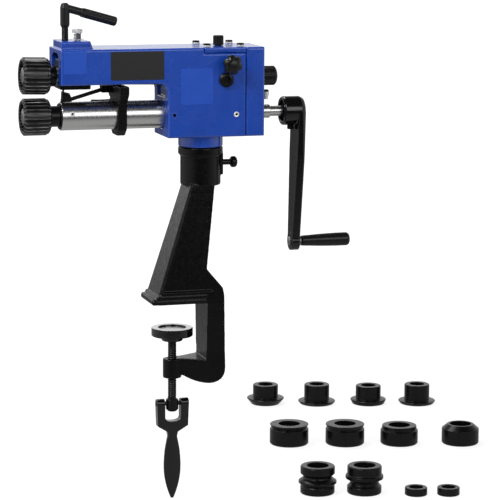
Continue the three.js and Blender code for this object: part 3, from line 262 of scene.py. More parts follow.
standPaint = {
    "base": (0.0007, 0.0007, 0.0008, 1),
    "worn": (0.0022, 0.0022, 0.0024, 1),
    "speck": (0.020, 0.020, 0.021, 1),
    "roughness": (0.18, 0.40),
    "specular": 0.21,
    "swell": (13.0, 0.40),
    "sand": (1.5, 0.085),
}


def blackEnamel():
    s = standPaint
    b = Board("black_enamel")
    spot = b.spot()
    worn = b.limited(b.noise(spot, 19, 4, 0.6) * 2.4 - 0.9)
    speck = b.limited(b.noise(spot, 1.6, 3, 0.7) * 6 - 3.6)
    return b.finish({
        "Base Color": b.blend(speck * 0.5, b.blend(worn, s["base"], s["worn"]), s["speck"]),
        "Roughness": b.ramp(b.noise(spot, 5, 3), *s["roughness"]),
        "Specular IOR Level": s["specular"],
        "Normal": b.skin(spot, s["swell"], s["sand"], 3, 0.6),
    })


oxide = {
    "base": (0.0014, 0.0014, 0.0016, 1),
    "bright": (0.0070, 0.0070, 0.0074, 1),
    "metallic": 0.06,
    "cut": 0.45,       # pitch of the tool marks
    "cutDepth": 0.018,
}


# The tool's rings and a patchy film on black turned steel, and the colour that the two make
def oxideFilm(b, patchWidth):
    rings = b.noise(b.lathe((0.02, 1, 1)), oxide["cut"], 2)
    patch = b.noise(b.lathe((0.3, 0.3, 1)), patchWidth, 3)
    color = b.blend(b.limited(rings * 0.7 + patch * 0.9 - 0.40), oxide["base"], oxide["bright"])
    return rings, patch, color


def oxideSteel():
    b = Board("black_oxide_steel")
    rings, patch, color = oxideFilm(b, 5)
    return b.finish({
        "Base Color": color,
        "Metallic": oxide["metallic"],
        "Roughness": rings * 0.14 + patch * 0.12 + 0.15,
        "Specular IOR Level": 0.26,
        "Normal": b.bump(rings, oxide["cutDepth"]),
    })


fluting = {
    "flutes": 26,
    "radius": 25.3,
    "depth": 0.7,
    "share": 0.22,  # of the pitch that is groove
    "rim": 0.30,    # width of the edge that is rubbed bright
    "rub": (0.42, 0.42, 0.415, 1),
}


# Like the black steel, but rubbed bright along the edges of the flutes
def fluteSteel():
    s = fluting
    b = Board("fluted_roller_steel")
    rings, patch, color = oxideFilm(b, 4)
    pitch = 2 * math.pi * s["radius"] / s["flutes"]
    phase = b.maths("FRACT", b.split(b.lathe((1, 1, 1)))[0] / pitch)
    fromEdge = b.absolute(b.absolute(phase - 0.5) - s["share"] / 2) * pitch
    rubbed = b.limited(1.0 - fromEdge / s["rim"]) * b.limited(patch * 2.4 - 0.5)
    return b.finish({
        "Base Color": b.blend(rubbed, color, s["rub"]),
        "Metallic": rubbed * 0.85 + oxide["metallic"],
        "Roughness": rings * 0.10 + patch * 0.10 + 0.14,
        "Specular IOR Level": 0.33,
        "Normal": b.bump(rings, oxide["cutDepth"]),
    })


turnedSteel = {"dark": (0.54, 0.54, 0.535, 1), "light": (0.72, 0.72, 0.715, 1), "cut": 0.5, "cutDepth": 0.002}


def brightSteel():
    s = turnedSteel
    b = Board("turned_bright_steel")
    rings = b.noise(b.lathe((0.012, 1, 1)), s["cut"], 3)
    film = b.noise(b.lathe((0.25, 0.12, 1)), 4, 3)
    return b.finish({
        "Base Color": b.blend(b.limited(rings * 0.6 + film * 0.6 - 0.1), s["dark"], s["light"]),
        "Metallic": 1.0,
        "Roughness": rings * 0.06 + film * 0.08 + 0.20,
        "Normal": b.bump(rings, s["cutDepth"]),
    })


# One cloud of noise blends two colours and varies the roughness, over a fine grain. The cloud is given by its
# width and detail, the grain by its width, detail and depth
plainFinishes = {
    "black_screw_steel": {
        "dark": (0.0014, 0.0014, 0.0016, 1), "light": (0.0060, 0.0060, 0.0064, 1), "cloud": (3, 3),
        "metallic": 0.04, "roughness": (0.18, 0.38), "specular": 0.27, "grain": (0.5, 2, 0.02),
    },
    "zinc_plate": {
        "dark": (0.62, 0.63, 0.62, 1), "light": (0.82, 0.82, 0.81, 1), "cloud": (3.5, 3),
        "metallic": 0.42, "roughness": (0.18, 0.36), "specular": 0.5, "grain": (1.2, 2, 0.003),
    },
    "dark_nut_steel": {
        "dark": (0.11, 0.11, 0.112, 1), "light": (0.25, 0.25, 0.248, 1), "cloud": (2.6, 3),
        "metallic": 0.80, "roughness": (0.20, 0.42), "specular": 0.5, "grain": (0.5, 2, 0.015),
    },
    "bearing_bronze": {
        "dark": (0.35, 0.20, 0.07, 1), "light": (0.55, 0.34, 0.14, 1), "cloud": (4, 3),
        "metallic": 1.0, "roughness": (0.25, 0.45), "specular": 0.5, "grain": (0.7, 2, 0.01),
    },
    "handle_rubber": {
        "dark": (0.0030, 0.0030, 0.0031, 1), "light": (0.0095, 0.0095, 0.0098, 1), "cloud": (9, 3),
        "metallic": 0.0, "roughness": (0.32, 0.48), "specular": 0.34, "grain": (0.9, 3, 0.06),
    },
    "moulded_black_plastic": {
        "dark": (0.0030, 0.0030, 0.0028, 1), "light": (0.0085, 0.0085, 0.0080, 1), "cloud": (7, 2),
        "metallic": 0.0, "roughness": (0.22, 0.34), "specular": 0.31, "grain": (0.7, 2, 0.008),
        "contrast": 1.4,
    },
}


def plainFinish(name):
    s = plainFinishes[name]
    b = Board(name)
    spot = b.spot()
    cloud = b.noise(spot, *s["cloud"])
    width, detail, depth = s["grain"]
    return b.finish({
        "Base Color": b.blend(b.spread(cloud, s), s["dark"], s["light"]),
        "Metallic": s["metallic"],
        "Roughness": b.ramp(cloud, *s["roughness"]),
        "Specular IOR Level": s["specular"],
        "Normal": b.bump(b.noise(spot, width, detail), depth),
    })


def plateFilm(name, base, light):
    b = Board(name)
    spot = b.spot()
    return b.finish({
        "Base Color": b.blend(b.noise(spot, 16, 2), base, light),
        "Roughness": b.ramp(b.noise(spot, 5, 2), 0.34, 0.46),
        "Specular IOR Level": 0.35,
        "Normal": b.bump(b.noise(spot, 1.1, 2), 0.010),
    })


# Near black and matt: painted shade, for the bottom of a socket and for the grub screw down a drilled hole
def holeShade():
    b = Board("hole_shade")
    return b.finish({
        "Base Color": b.blend(b.noise(b.spot(), 2, 2), grey(0.0010), grey(0.0025)),
        "Roughness": 0.9,
        "Specular IOR Level": 0.1,
    })


enamelBlue = coatedEnamel("blue_enamel", headPaint)
enamelBlack = blackEnamel()
enamelGloss = coatedEnamel("gloss_black_enamel", glossPaint)
steelBlack = oxideSteel()
steelFluted = fluteSteel()
steelBright = brightSteel()
screwBlack = plainFinish("black_screw_steel")
steelNut = plainFinish("dark_nut_steel")
zinc = plainFinish("zinc_plate")
plastic = plainFinish("moulded_black_plastic")
rubber = plainFinish("handle_rubber")
bronze = plainFinish("bearing_bronze")
hole = holeShade()
plateBlack = plateFilm("blank_plate_black", (0.0125, 0.0125, 0.0135, 1), (0.0170, 0.0170, 0.0180, 1))
plateBlue = plateFilm("blank_plate_blue", (0.004, 0.058, 0.420, 1), (0.008, 0.072, 0.460, 1))


# Mesh tools

def added(name, data):
    piece = bpy.data.objects.new(name, data)
    bpy.context.scene.collection.objects.link(piece)
    return piece


def settle(piece):
    bpy.context.view_layer.update()
    made = piece.evaluated_get(bpy.context.evaluated_depsgraph_get())
    mesh = bpy.data.meshes.new_from_object(made)
    piece.modifiers.clear()
    piece.data = mesh
    return piece


def modify(piece, kind, **settings):
    step = piece.modifiers.new(kind.lower(), kind)
    for key, value in settings.items():
        setattr(step, key, value)


# Rounds the corners of an open profile, apart from gentle ones, and takes no more than a share of either side
def eased(profile, radius, cuts=3, gentle=0.16, share=0.45):
    points = [Vector(point) for point in profile]
    rounded = [points[0]]
    for before, corner, after in zip(points, points[1:], points[2:]):
        arriving, leaving = corner - before, after - corner
        shorter = min(arriving.length, leaving.length)
        if shorter < 1e-4 or arriving.angle(leaving) < gentle:
            rounded.append(corner)
            continue
        reach = min(radius * math.tan(arriving.angle(leaving) / 2), share * shorter)
        start = corner - arriving.normalized() * reach
        end = corner + leaving.normalized() * reach
        for cut in range(cuts + 1):
            t = cut / cuts
            rounded.append(start * (1 - t) ** 2 + corner * (2 * t * (1 - t)) + end * t ** 2)
    rounded.append(points[-1])
    return [tuple(point) for point in rounded]


# A solid turned about Z from a profile of [height, radius]; wave bends the radius with the angle
def turn(name, profile, steps=48, ease=0.5, wave=None):
    rows = eased(profile, ease) if ease else profile
    runs = [0]
    for first, second in zip(rows, rows[1:]):
        runs.append(runs[-1] + math.dist(first, second))
    widest = max(radius for _, radius in rows)
    corners, faces, marks = [], [], []
    for height, radius in rows:
        for step in range(steps):
            angle = 2 * math.pi * step / steps
            reach = wave(angle, radius, height) if wave else radius
            corners.append((reach * math.cos(angle), reach * math.sin(angle), height))
    for row in range(len(rows) - 1):
        for step in range(steps):
            after = (step + 1) % steps
            low, high = row * steps, (row + 1) * steps
            faces.append((low + step, low + after, high + after, high + step))
            left, right = [2 * math.pi * widest * part / steps for part in (step, step + 1)]
            marks += [(left, runs[row]), (right, runs[row]), (right, runs[row + 1]), (left, runs[row + 1])]
    mesh = bpy.data.meshes.new(name)
    mesh.from_pydata(corners, [], faces)
    layer = mesh.uv_layers.new(name="turned")
    for loop, mark in zip(layer.data, marks):
        loop.uv = mark
    tidy(mesh)
    return added(name, mesh)


# The profiles of a rod and of a ring
def rodRows(radius, low, high):
    return [(low, 0), (low, radius), (high, radius), (high, 0)]


def ringRows(inner, outer, low, high):
    return [(low, inner), (low, outer), (high, outer), (high, inner), (low, inner)]


def tidy(mesh):
    work = bmesh.new()
    work.from_mesh(mesh)
    bmesh.ops.remove_doubles(work, verts=work.verts, dist=0.004)
    bmesh.ops.dissolve_degenerate(work, edges=work.edges, dist=0.002)
    bmesh.ops.recalc_face_normals(work, faces=work.faces)
    work.to_mesh(mesh)
    work.free()


def put(piece, at=(0, 0, 0), along=upward):
    turned = Vector(upward).rotation_difference(Vector(along)).to_matrix().to_4x4()
    piece.data.transform(Matrix.Translation(Vector(at)) @ turned)
    return piece


# An outline in the XY plane, made thick along Z, with its edges rounded
def slab(name, outline, low, high, edge=0):
    work = bmesh.new()
    bottom = work.faces.new([work.verts.new((x, y, low)) for x, y in outline])
    top = bmesh.ops.extrude_face_region(work, geom=[bottom])["geom"]
    corners = [corner for corner in top if isinstance(corner, bmesh.types.BMVert)]
    bmesh.ops.translate(work, verts=corners, vec=(0, 0, high - low))
    bmesh.ops.recalc_face_normals(work, faces=work.faces)
    mesh = bpy.data.meshes.new(name)
    work.to_mesh(mesh)
    work.free()
    piece = added(name, mesh)
    if edge:
        modify(piece, "BEVEL", width=edge, segments=2, limit_method="ANGLE", angle_limit=math.radians(32))
        settle(piece)
    return piece


# Cuts the socket of a screw, or the flats of a nut
def hexagon(radius, low, high):
    angles = [math.pi / 3 * side for side in range(6)]
    outline = [(radius * math.cos(angle), radius * math.sin(angle)) for angle in angles]
    return slab("hexagon", outline, low, high)


def carve(piece, *cutters, operation="DIFFERENCE"):
    for cutter in cutters:
        modify(piece, "BOOLEAN", operation=operation, object=cutter, solver="EXACT")
        settle(piece)
        bpy.data.objects.remove(cutter)
    return piece


def joinInto(piece, *others):
    work = bmesh.new()
    work.from_mesh(piece.data)
    for other in others:
        work.from_mesh(other.data)
        bpy.data.objects.remove(other)
    work.to_mesh(piece.data)
    work.free()
    return piece


def camel(node):
    first, *rest = node.split("_")
    return first + "".join(word.capitalize() for word in rest)


# A casting: the node's own solid with finer turned parts laid over it, skinned again and rubbed round
def castFrom(node, voxel, rub, overlays=(), drills=()):
    piece = added(camel(node), frame["nodes"][node].data.copy())
    piece.data.transform(Matrix.Scale(perMetre, 4))
    tidy(piece.data)
    carve(piece, *drills)
    joinInto(piece, *overlays)
    modify(piece, "REMESH", mode="VOXEL", voxel_size=voxel, adaptivity=0)
    modify(piece, "SMOOTH", factor=0.5, iterations=rub)
    return settle(piece)


# A block that fills a hollow before a casting is skinned
def filler(low, high):
    work = bmesh.new()
    bmesh.ops.create_cube(work, size=1)
    bmesh.ops.scale(work, vec=high - low, verts=work.verts)
    bmesh.ops.translate(work, vec=(low + high) / 2, verts=work.verts)
    mesh = bpy.data.meshes.new("filler")
    work.to_mesh(mesh)
    work.free()
    return added("filler", mesh)


# Gives a finished piece its metres, its material and the body it rides on; a piece that stretches between two
# bodies is left in place on neither
def show(piece, finish, *nodes, body=None, sharp=38, between=None):
    piece.data.transform(Matrix.Scale(1 / perMetre, 4))
    piece.data.materials.clear()
    piece.data.materials.append(finish)
    piece.data.shade_smooth()
    if sharp:
        piece.data.set_sharp_from_angle(angle=math.radians(sharp))
        modify(piece, "WEIGHTED_NORMAL", keep_sharp=True)
        settle(piece)
    if between:
        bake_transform(piece)
    else:
        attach(piece, body or bodyOf[nodes[0]])
    if nodes:
        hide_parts(*nodes)
    return piece


def showTurned(node, rows, finish, at, along=upward, steps=48, ease=0.5, wave=None, sharp=38):
    show(put(turn(camel(node), rows, steps, ease, wave), at, along), finish, node, sharp=sharp)


def showCast(node, finish, *settings):
    show(castFrom(node, *settings), finish, node, sharp=0)


def wear(finish, *nodes):
    for node in nodes:
        for slot in frame["nodes"][node].material_slots:
            slot.material = finish


def threadWave(pitch, depth, start, end):
    def wave(angle, radius, height):
        if not start <= height <= end:
            return radius
        part = (height / pitch - angle / (2 * math.pi)) % 1
        return radius - depth * (1 - abs(2 * part - 1))
    return wave


# A threaded rod with what is below and above its thread
def showThreaded(node, below, above, s, start, end, at, steps):
    count = max(2, round((end - start) / s["pitch"] * s["rowsPerTurn"]))
    thread = [(start + (end - start) * row / count, s["radius"]) for row in range(count + 1)]
    wave = threadWave(s["pitch"], s["depth"], start, end)
    showTurned(node, below + thread + above, screwBlack, at, steps=steps, ease=0, wave=wave, sharp=50)


# Flat lands with round grooves between them, no deeper than depth under the outside radius
def fluteWave(count, depth, share, outside):
    def wave(angle, radius, height):
        aside = abs((angle * count / (2 * math.pi)) % 1 - 0.5)
        groove = depth * math.cos(math.pi * aside / share) if aside < share / 2 else 0
        return min(radius, outside - groove)
    return wave


def socketScrew(name, rows, socket, depth, ease=0.5):
    top = rows[-1][0]
    return carve(turn(name, rows, ease=ease), hexagon(socket, top - depth, top + 1))


# A flush screw: a ring that stands a little proud of its seat, and a disc of painted shade at the bottom of its
# socket
def flushScrew(name, radius, socket, proud, at, along, body):
    rows = [(-1.5, 0), (-1.5, radius - 0.2), (proud * 0.4, radius), (proud * 0.85, radius - 0.5)]
    rows += [(proud, (radius + socket) / 2), (proud * 0.8, socket + 0.3), (proud * 0.5, 0)]
    screw = carve(turn(name, rows), hexagon(socket, proud - 2, proud + 1))
    show(put(screw, at, along), zinc, body=body)
    pit = turn(name + "Pit", rodRows(socket * 0.84, 0.1, 0.3), 24, 0)
    show(put(pit, at, along), hole, body=body)


print("clamp stand")

standCasting = {
    "voxel": 0.85,
    "rub": 4,
    "socketRadius": 28,
    "socketDepth": 53.5,
    "socketBore": 23.45,
    "collarRadius": 31,
    "collarHeight": 11,
    "bossRadius": 13,
    "bossBore": 6.5,
    "bossSpan": (-109, -82),
}


def makeStand():
    s = standCasting
    top = span("stand_frame")[1].z
    low, collar = top - s["socketDepth"], top - s["collarHeight"]
    bore, radius, wide = s["socketBore"], s["socketRadius"], s["collarRadius"]
    socket = turn("socket", [
        (low, bore), (low, radius - 1.5), (low + 1.5, radius), (collar - 2, radius), (collar + 1, wide),
        (top - 1, wide), (top, wide - 1), (top, bore), (low, bore),
    ], 96, 1.2)
    put(socket, (swivel.x, 0, 0))
    boss = turn("boss", ringRows(s["bossBore"], s["bossRadius"], *s["bossSpan"]), 64, 0.8)
    showCast("stand_frame", enamelBlack, s["voxel"], s["rub"], (socket, boss))


makeStand()

clampPad = {
    "radius": 29, "thick": 12, "dishRadius": 19.6, "dishDepth": 3, "hubRadius": 14.7, "socket": 6.7,
    "socketDepth": 4.3,
}


def makeClampPad():
    s = clampPad
    low, high = span("clamp_pad")
    top, body, dish = high.z, high.z - s["thick"], high.z - s["dishDepth"]
    radius, dishRadius, hub, end = s["radius"], s["dishRadius"], s["hubRadius"], body + s["socketDepth"]
    rows = [(dish, 0), (dish, dishRadius), (top - 0.3, dishRadius), (top - 0.3, radius - 0.6)]
    rows += [(top - 1, radius), (body + 1, radius), (body, radius - 1), (body, hub + 0.5), (low.z + 1, hub)]
    rows += [(low.z, hub - 1), (low.z, s["socket"]), (end, s["socket"]), (end, 0)]
    showTurned("clamp_pad", rows, enamelGloss, (0, 0, 0), steps=112, ease=0.4)
    inner, outer, under = dishRadius + 0.4, radius - 0.7, top - 0.35
    rows = [(under, inner), (under, outer), (top, outer - 0.3), (top, inner), (under, inner)]
    face = turn("clampPadFace", rows, 112, 0)
    floor = turn("dishFloor", rodRows(dishRadius - 0.1, dish - 0.1, dish + 0.3), 112, 0)
    show(joinInto(face, floor), steelBright, body=bodyOf["clamp_pad"])


makeClampPad()

clampScrew = {
    "radius": 6.2, "pitch": 3.0, "depth": 0.8, "rowsPerTurn": 6, "endRadius": 8.75, "endLength": 17.5,
    "pinRadius": 3,
}


def makeClampScrew():
    s = clampScrew
    low, high = span("clamp_screw")
    radius, end = s["radius"], s["endRadius"]
    neck = low.z + s["endLength"]
    rows = [(low.z, 0), (low.z, end - 3), (low.z + 3, end), (neck - 1, end), (neck, end - 1), (neck, radius)]
    above = [(high.z - 1, radius), (high.z, radius - 1), (high.z, 0)]
    showThreaded("clamp_screw", eased(rows, 0.9), above, s, neck + 3, high.z - 4, (0, 0, 0), 40)
    half = span("clamp_pin")[1].x - 0.1
    rows = rodRows(s["pinRadius"], -half, half)
    showTurned("clamp_pin", rows, screwBlack, (0, 0, middle("clamp_pin").z), toCrank, 32, 0.7)


makeClampScrew()

clampBlade = {"top": -186, "run": 18, "loss": 0.62}


# The blade of the handle is thickest along its middle and thins out to both edges
def makeClampHandle():
    s = clampBlade
    handle = castFrom("clamp_handle", 0.6, 8)
    widest = {}
    for vertex in handle.data.vertices:
        level = round(vertex.co.z)
        widest[level] = max(widest.get(level, 0.5), abs(vertex.co.x))
    for vertex in handle.data.vertices:
        across = abs(vertex.co.x) / widest[round(vertex.co.z)]
        share = min(1, max(0, (s["top"] - vertex.co.z) / s["run"]))
        vertex.co.y *= 1 - s["loss"] * share * across ** 2
    show(handle, enamelGloss, "clamp_handle", sharp=0)


makeClampHandle()

lockScrew = {"shank": 4, "head": 9, "headRadius": 7.8, "taper": 1.5, "socket": 2.9, "socketDepth": 4}


def makeLockScrew():
    s = lockScrew
    low, high = span("swivel_lock_screw")
    length = high.x - low.x
    head, shank, wide, narrow = length - s["head"], s["shank"], s["headRadius"], s["headRadius"] - s["taper"]
    rows = [(0, 0), (0, shank - 1), (1, shank), (head - 1, shank), (head, narrow), (head + s["taper"], wide)]
    rows += [(length - 3, wide), (length - 1, narrow), (length, shank - 0.2), (length, 0)]
    screw = socketScrew("swivelLockScrew", rows, s["socket"], s["socketDepth"], 0.6)
    show(put(screw, (low.x, 0, (low.z + high.z) / 2), toCrank), screwBlack, "swivel_lock_screw")


makeLockScrew()

print("head")

headCast = {
    "voxel": 0.65,
    "rub": 6,
    "spigotRadius": 23,
    "flangeRadius": 30.8,
    "flangeTop": -30,  # heights are from the drive axis
    "flangeThick": 15.7,
    "hollowHalf": Vector((53, 35.5, 0)),
    "hollowSpan": (-27, 83),
}
setScrewHole = {"x": -47.4, "z": 1.5, "radius": 2.9, "drill": 4.5, "socket": 1.3}  # from where the axes cross


def makeHead():
    s = headCast
    low = span("head_casting")[0]
    top = driveAxis.z + s["flangeTop"]
    base = top - s["flangeThick"]
    spigot, flange = s["spigotRadius"], s["flangeRadius"]
    rows = [(low.z, 0), (low.z, spigot - 2), (low.z + 2, spigot), (base, spigot), (base, flange - 1)]
    rows += [(base + 1, flange), (top + 3, flange), (top + 3, 0)]
    foot = put(turn("foot", rows, 96, 0.6), (swivel.x, 0, 0))
    centre, half = Vector((swivel.x, 0, driveAxis.z)), s["hollowHalf"]
    under, over = [Vector((0, 0, height)) for height in s["hollowSpan"]]
    hollow = filler(centre - half + under, centre + half + over)
    h = setScrewHole
    at = Vector((swivel.x + h["x"], low.y, driveAxis.z + h["z"]))
    drill = put(turn("drill", rodRows(h["radius"], -h["drill"], 2), 32, 0), at, toViewer)
    showCast("head_casting", enamelBlue, s["voxel"], s["rub"], (foot, hollow), (drill,))
    rows = [(-2.4, 2.2), (0.2, 2.4), (0.55, 3.0), (0.05, 4.2), (-2.4, 3.2), (-2.4, 2.2)]
    show(put(turn("holeRim", rows, 48, 0.2), at, toViewer), enamelBlue, body="head")
    # A black grub screw down the drilled hole, painted with the shade of the hole
    rows = [(-4.2, 0), (-4.2, 2.15), (-2.2, 2.15), (-1.9, 1.8), (-1.9, 0)]
    grub = carve(turn("holeGrub", rows, 40, 0.2), hexagon(h["socket"], -3.4, 0))
    show(put(grub, at, toViewer), hole, body="head")
    low, high = span("gear_cover")
    wall = Vector((2, 3, 3))
    showCast("gear_cover", enamelBlue, 0.9, 3, (filler(low + wall, high - wall),))
    showCast("top_plate", enamelBlue, 0.8, 2)


makeHead()

capScrew = {
    "shank": 2.4, "headRadius": 5, "headHeight": 4.8, "socket": 2.6, "socketDepth": 2.6, "washer": 2.3,
    "washerBore": 2.7, "washerRadius": 5.3,
}


def makePlateScrews():
    s = capScrew
    washers = []
    for number in range(1, 5):
        node = f"plate_screw_{number}"
        low, high = span(node)
        at = ((low.x + high.x) / 2, (low.y + high.y) / 2, 0)
        seat = high.z - s["headHeight"]
        head = seat + s["washer"]
        rows = [(low.z, 0), (low.z, s["shank"]), (head, s["shank"]), (head, s["headRadius"])]
        rows += [(high.z, s["headRadius"]), (high.z, 0)]
        screw = socketScrew(camel(node), rows, s["socket"], s["socketDepth"])
        show(put(screw, at), screwBlack, node)
        rows = ringRows(s["washerBore"], s["washerRadius"], seat, head)
        washers.append(put(turn(f"plateWashers{number}", rows, ease=0.25), at))
    show(joinInto(*washers), zinc, body="head")


makePlateScrews()

pivotScrew = {
    "shank": 6, "headRadius": 10, "head": 5, "round": 1.6, "face": 6.6, "socket": 5, "socketDepth": 4.2,
}


def makePivotScrews():
    s = pivotScrew
    radius = s["headRadius"]
    for node, side in (("pivot_screw_front", -1), ("pivot_screw_rear", 1)):
        low, high = span(node)
        length = high.y - low.y
        head = length - s["head"]
        rows = [(0, 0), (0, s["shank"]), (head, s["shank"]), (head, radius), (length - 2, radius)]
        rows += [(length - 0.3, radius - s["round"]), (length, s["face"]), (length, 0)]
        screw = socketScrew(camel(node), rows, s["socket"], s["socketDepth"])
        inner = low.y if side > 0 else high.y
        show(put(screw, (trunnion.x, inner, trunnion.z), (0, side, 0)), screwBlack, node)


makePivotScrews()

tubeSet = {
    "radius": 19.4, "bore": 15, "bushBore": 11.3, "bushFlange": 17.6, "bushThick": 1.4, "screwX": -184.6,
    "screwRise": 4.8, "screwRadius": 3.4, "socket": 1.9, "oilerX": -195.2, "oilerHeight": 4.2,
}


def makeTube():
    s = tubeSet
    low, high = span("guide_tube")
    rows = ringRows(s["bore"], s["radius"], 0, high.x - low.x)
    showTurned("guide_tube", rows, steelBright, onDrive(low.x), toCrank, 144, 0.8)
    low, high = span("tube_bush")
    length = high.x - low.x
    inner, flange, thick, bore = s["bore"] - 0.3, s["bushFlange"], s["bushThick"], s["bushBore"]
    rows = [(0, bore), (0, flange), (thick, flange), (thick, inner), (length, inner), (length, bore)]
    rows.append((0, bore))
    showTurned("tube_bush", rows, screwBlack, onDrive(low.x), toCrank, 96, 0.3)
    rise = math.asin(s["screwRise"] / s["radius"])
    outward = Vector((0, -math.cos(rise), math.sin(rise)))
    at = Vector((swivel.x + s["screwX"], 0, driveAxis.z)) + outward * (s["radius"] - 0.1)
    flushScrew("tubeScrew", s["screwRadius"], s["socket"], 0.7, at, outward, bodyOf["guide_tube"])
    tall = s["oilerHeight"]
    rows = [(-1, 0), (-1, 2.4), (0.9, 2.4), (1.1, 1.4), (tall - 2, 1.3), (tall - 1, 1.9)]
    oiler = turn("tubeOiler", rows + [(tall, 1.1), (tall, 0)], 40, 0.3)
    put(oiler, (swivel.x + s["oilerX"], 0, driveAxis.z + s["radius"]))
    show(oiler, screwBlack, body=bodyOf["guide_tube"])


makeTube()

oilCup = {"fromEnd": 4.4, "rise": 3, "stem": 1.8, "neck": 3.3, "radius": 4.3, "top": 7.6, "lid": 2.9}


def makeOilCup():
    s = oilCup
    low, high = span("oil_cup")
    x, y, z = high.x - s["fromEnd"], (low.y + high.y) / 2, low.z + s["rise"]
    neck, radius, top = s["neck"], s["radius"], s["top"]
    rows = [(-3, 0), (-3, neck - 0.7), (-1.5, neck), (2, neck), (2.6, radius), (top - 0.4, radius)]
    cup = put(turn("oilCup", rows + [(top, radius - 0.9), (top, 0)]), (x, y, z))
    stem = put(turn("stem", rodRows(s["stem"], 0, x - low.x), 24, 0.2), (low.x, y, z), toCrank)
    show(joinInto(cup, stem), zinc, "oil_cup")
    rows = [(top + 0.1, 0), (top + 0.1, radius - 0.3), (top + 1.7, radius - 0.5), (top + s["lid"], 2.2)]
    lid = turn("oilCupLid", rows + [(top + s["lid"], 0)])
    show(put(lid, (x, y, z)), plastic, body=bodyOf["oil_cup"])


makeOilCup()

print("upper shaft and its carrier")

liftScrew = {"shank": 2.4, "headRadius": 7, "headHeight": 5.4, "knurls": 40, "knurlDepth": 0.28}


def makeLiftScrew():
    s = liftScrew
    low, high = span("lift_screw")
    radius, shank = s["headRadius"], s["shank"]
    top, seat = high.z, high.z - s["headHeight"]

    def knurl(angle, around, height):
        return min(around, radius - s["knurlDepth"] * (0.5 + 0.5 * math.cos(s["knurls"] * angle)))

    rows = [(low.z, 0), (low.z, shank), (seat, shank), (seat, radius), (top - 1, radius), (top, radius - 1)]
    rows += [(top, 4.4), (top - 0.7, 3.9), (top - 0.7, 0)]
    at = ((low.x + high.x) / 2, (low.y + high.y) / 2, 0)
    showTurned("lift_screw", rows, zinc, at, steps=160, ease=0.3, wave=knurl)


makeLiftScrew()

liftSpring = {"wire": 0.7, "turns": 4, "stepsPerTurn": 36, "wireSides": 12}


def makeLiftSpring():
    s = liftSpring
    low, high = span("lift_spring")
    x, y, _ = (low + high) / 2
    wire, sides = s["wire"], s["wireSides"]
    radius = (high.x - low.x) / 2 - wire
    height = high.z - low.z - 2 * wire
    count = s["turns"] * s["stepsPerTurn"]
    corners, faces = [], []
    for step in range(count + 1):
        angle = 2 * math.pi * step / s["stepsPerTurn"]
        z = low.z + wire + height * step / count
        for side in range(sides):
            roll = 2 * math.pi * side / sides
            out = radius + wire * math.cos(roll)
            corners.append((x + out * math.cos(angle), y + out * math.sin(angle), z + wire * math.sin(roll)))
    for step in range(count):
        for side in range(sides):
            after = (side + 1) % sides
            ring, above = step * sides, (step + 1) * sides
            faces.append((ring + side, above + side, above + after, ring + after))
    faces.append(tuple(range(sides)))
    faces.append(tuple(reversed(range(count * sides, (count + 1) * sides))))
    mesh = bpy.data.meshes.new("liftSpring")
    mesh.from_pydata(corners, [], faces)
    tidy(mesh)
    foot, tip = Vector((x, y, low.z)) / perMetre, Vector((x, y, high.z)) / perMetre
    show(added("liftSpring", mesh), steelNut, "lift_spring", between=("head", "carriage", foot, tip))


makeLiftSpring()
showCast("bearing_block", enamelBlack, 0.7, 4)

rollerSet = {
    "width": 33.5, "tail": 4.2, "tailRadius": 24.1, "recess": 19.5, "recessDepth": 7.5, "nose": 10.3,
    "nutRadius": 12, "nutCorner": 13.5, "spacer": 14.25, "shaft": 11.3,
}


def makeRoller(node, nut, centre, along):
    s, f = rollerSet, fluting
    radius, tail, nose, recess = f["radius"], s["tailRadius"], s["nose"], s["recess"]
    half = s["width"] / 2
    end, seat = half + s["tail"], s["recessDepth"] - half
    rows = [
        (end, nose), (end, tail - 3), (end - 2, tail - 0.4), (half, tail), (half - 1.2, radius),
        (2.5 - half, radius), (-half, radius - 3), (-half, recess + 1), (1 - half, recess), (seat, recess),
        (seat, nose), (end, nose),
    ]
    wave = fluteWave(f["flutes"], f["depth"], f["share"], radius)
    showTurned(node, rows, steelFluted, centre, along, f["flutes"] * 16, 0.6, wave)
    seat -= 0.3
    corner = s["nutCorner"]
    rows = [(seat, 0), (seat, corner), (seat - 3.2, corner), (seat - 5.4, 10.6), (seat - 6.8, 6.5)]
    dome = turn(camel(nut), rows + [(seat - 7.2, 0)], 96, 1.0)
    carve(dome, hexagon(s["nutRadius"], seat - 10, seat + 1), operation="INTERSECT")
    show(put(dome, centre, along), steelNut, nut)


# From the trunnions to the middle of the upper roller's fluted width
def upperReach():
    return (trunnion - middle("upper_roller")).length + rollerSet["tail"] / 2


def makeRollers():
    s = rollerSet
    lowerCentre = Vector((span("lower_roller")[0].x + s["width"] / 2, 0, driveAxis.z))
    upperCentre = trunnion - upperLine * upperReach()
    shafts = (("lower", lowerCentre, Vector(toCrank)), ("upper", upperCentre, upperLine))
    for name, centre, line in shafts:
        makeRoller(name + "_roller", name + "_roller_nut", centre, line)
    for name, centre, line in shafts:
        low, high = span(name + "_spacer")
        tilt = math.sin(math.acos(min(1, line.x)))
        length = (high.x - low.x - 2 * s["spacer"] * tilt) / line.x
        at = centre + line * (s["width"] / 2 + s["tail"] + 0.3)
        showTurned(name + "_spacer", ringRows(s["shaft"], s["spacer"], 0, length), steelBlack, at, line, 80)


makeRollers()

shaftSet = {
    "radius": 11, "nose": 10, "thread": 7, "threadLength": 3.9, "noseStart": 3.6, "gearSeat": 9,
    "crankEnd": 7.25, "collar": 9.6, "endBore": 6.4, "endDepth": 13,
}


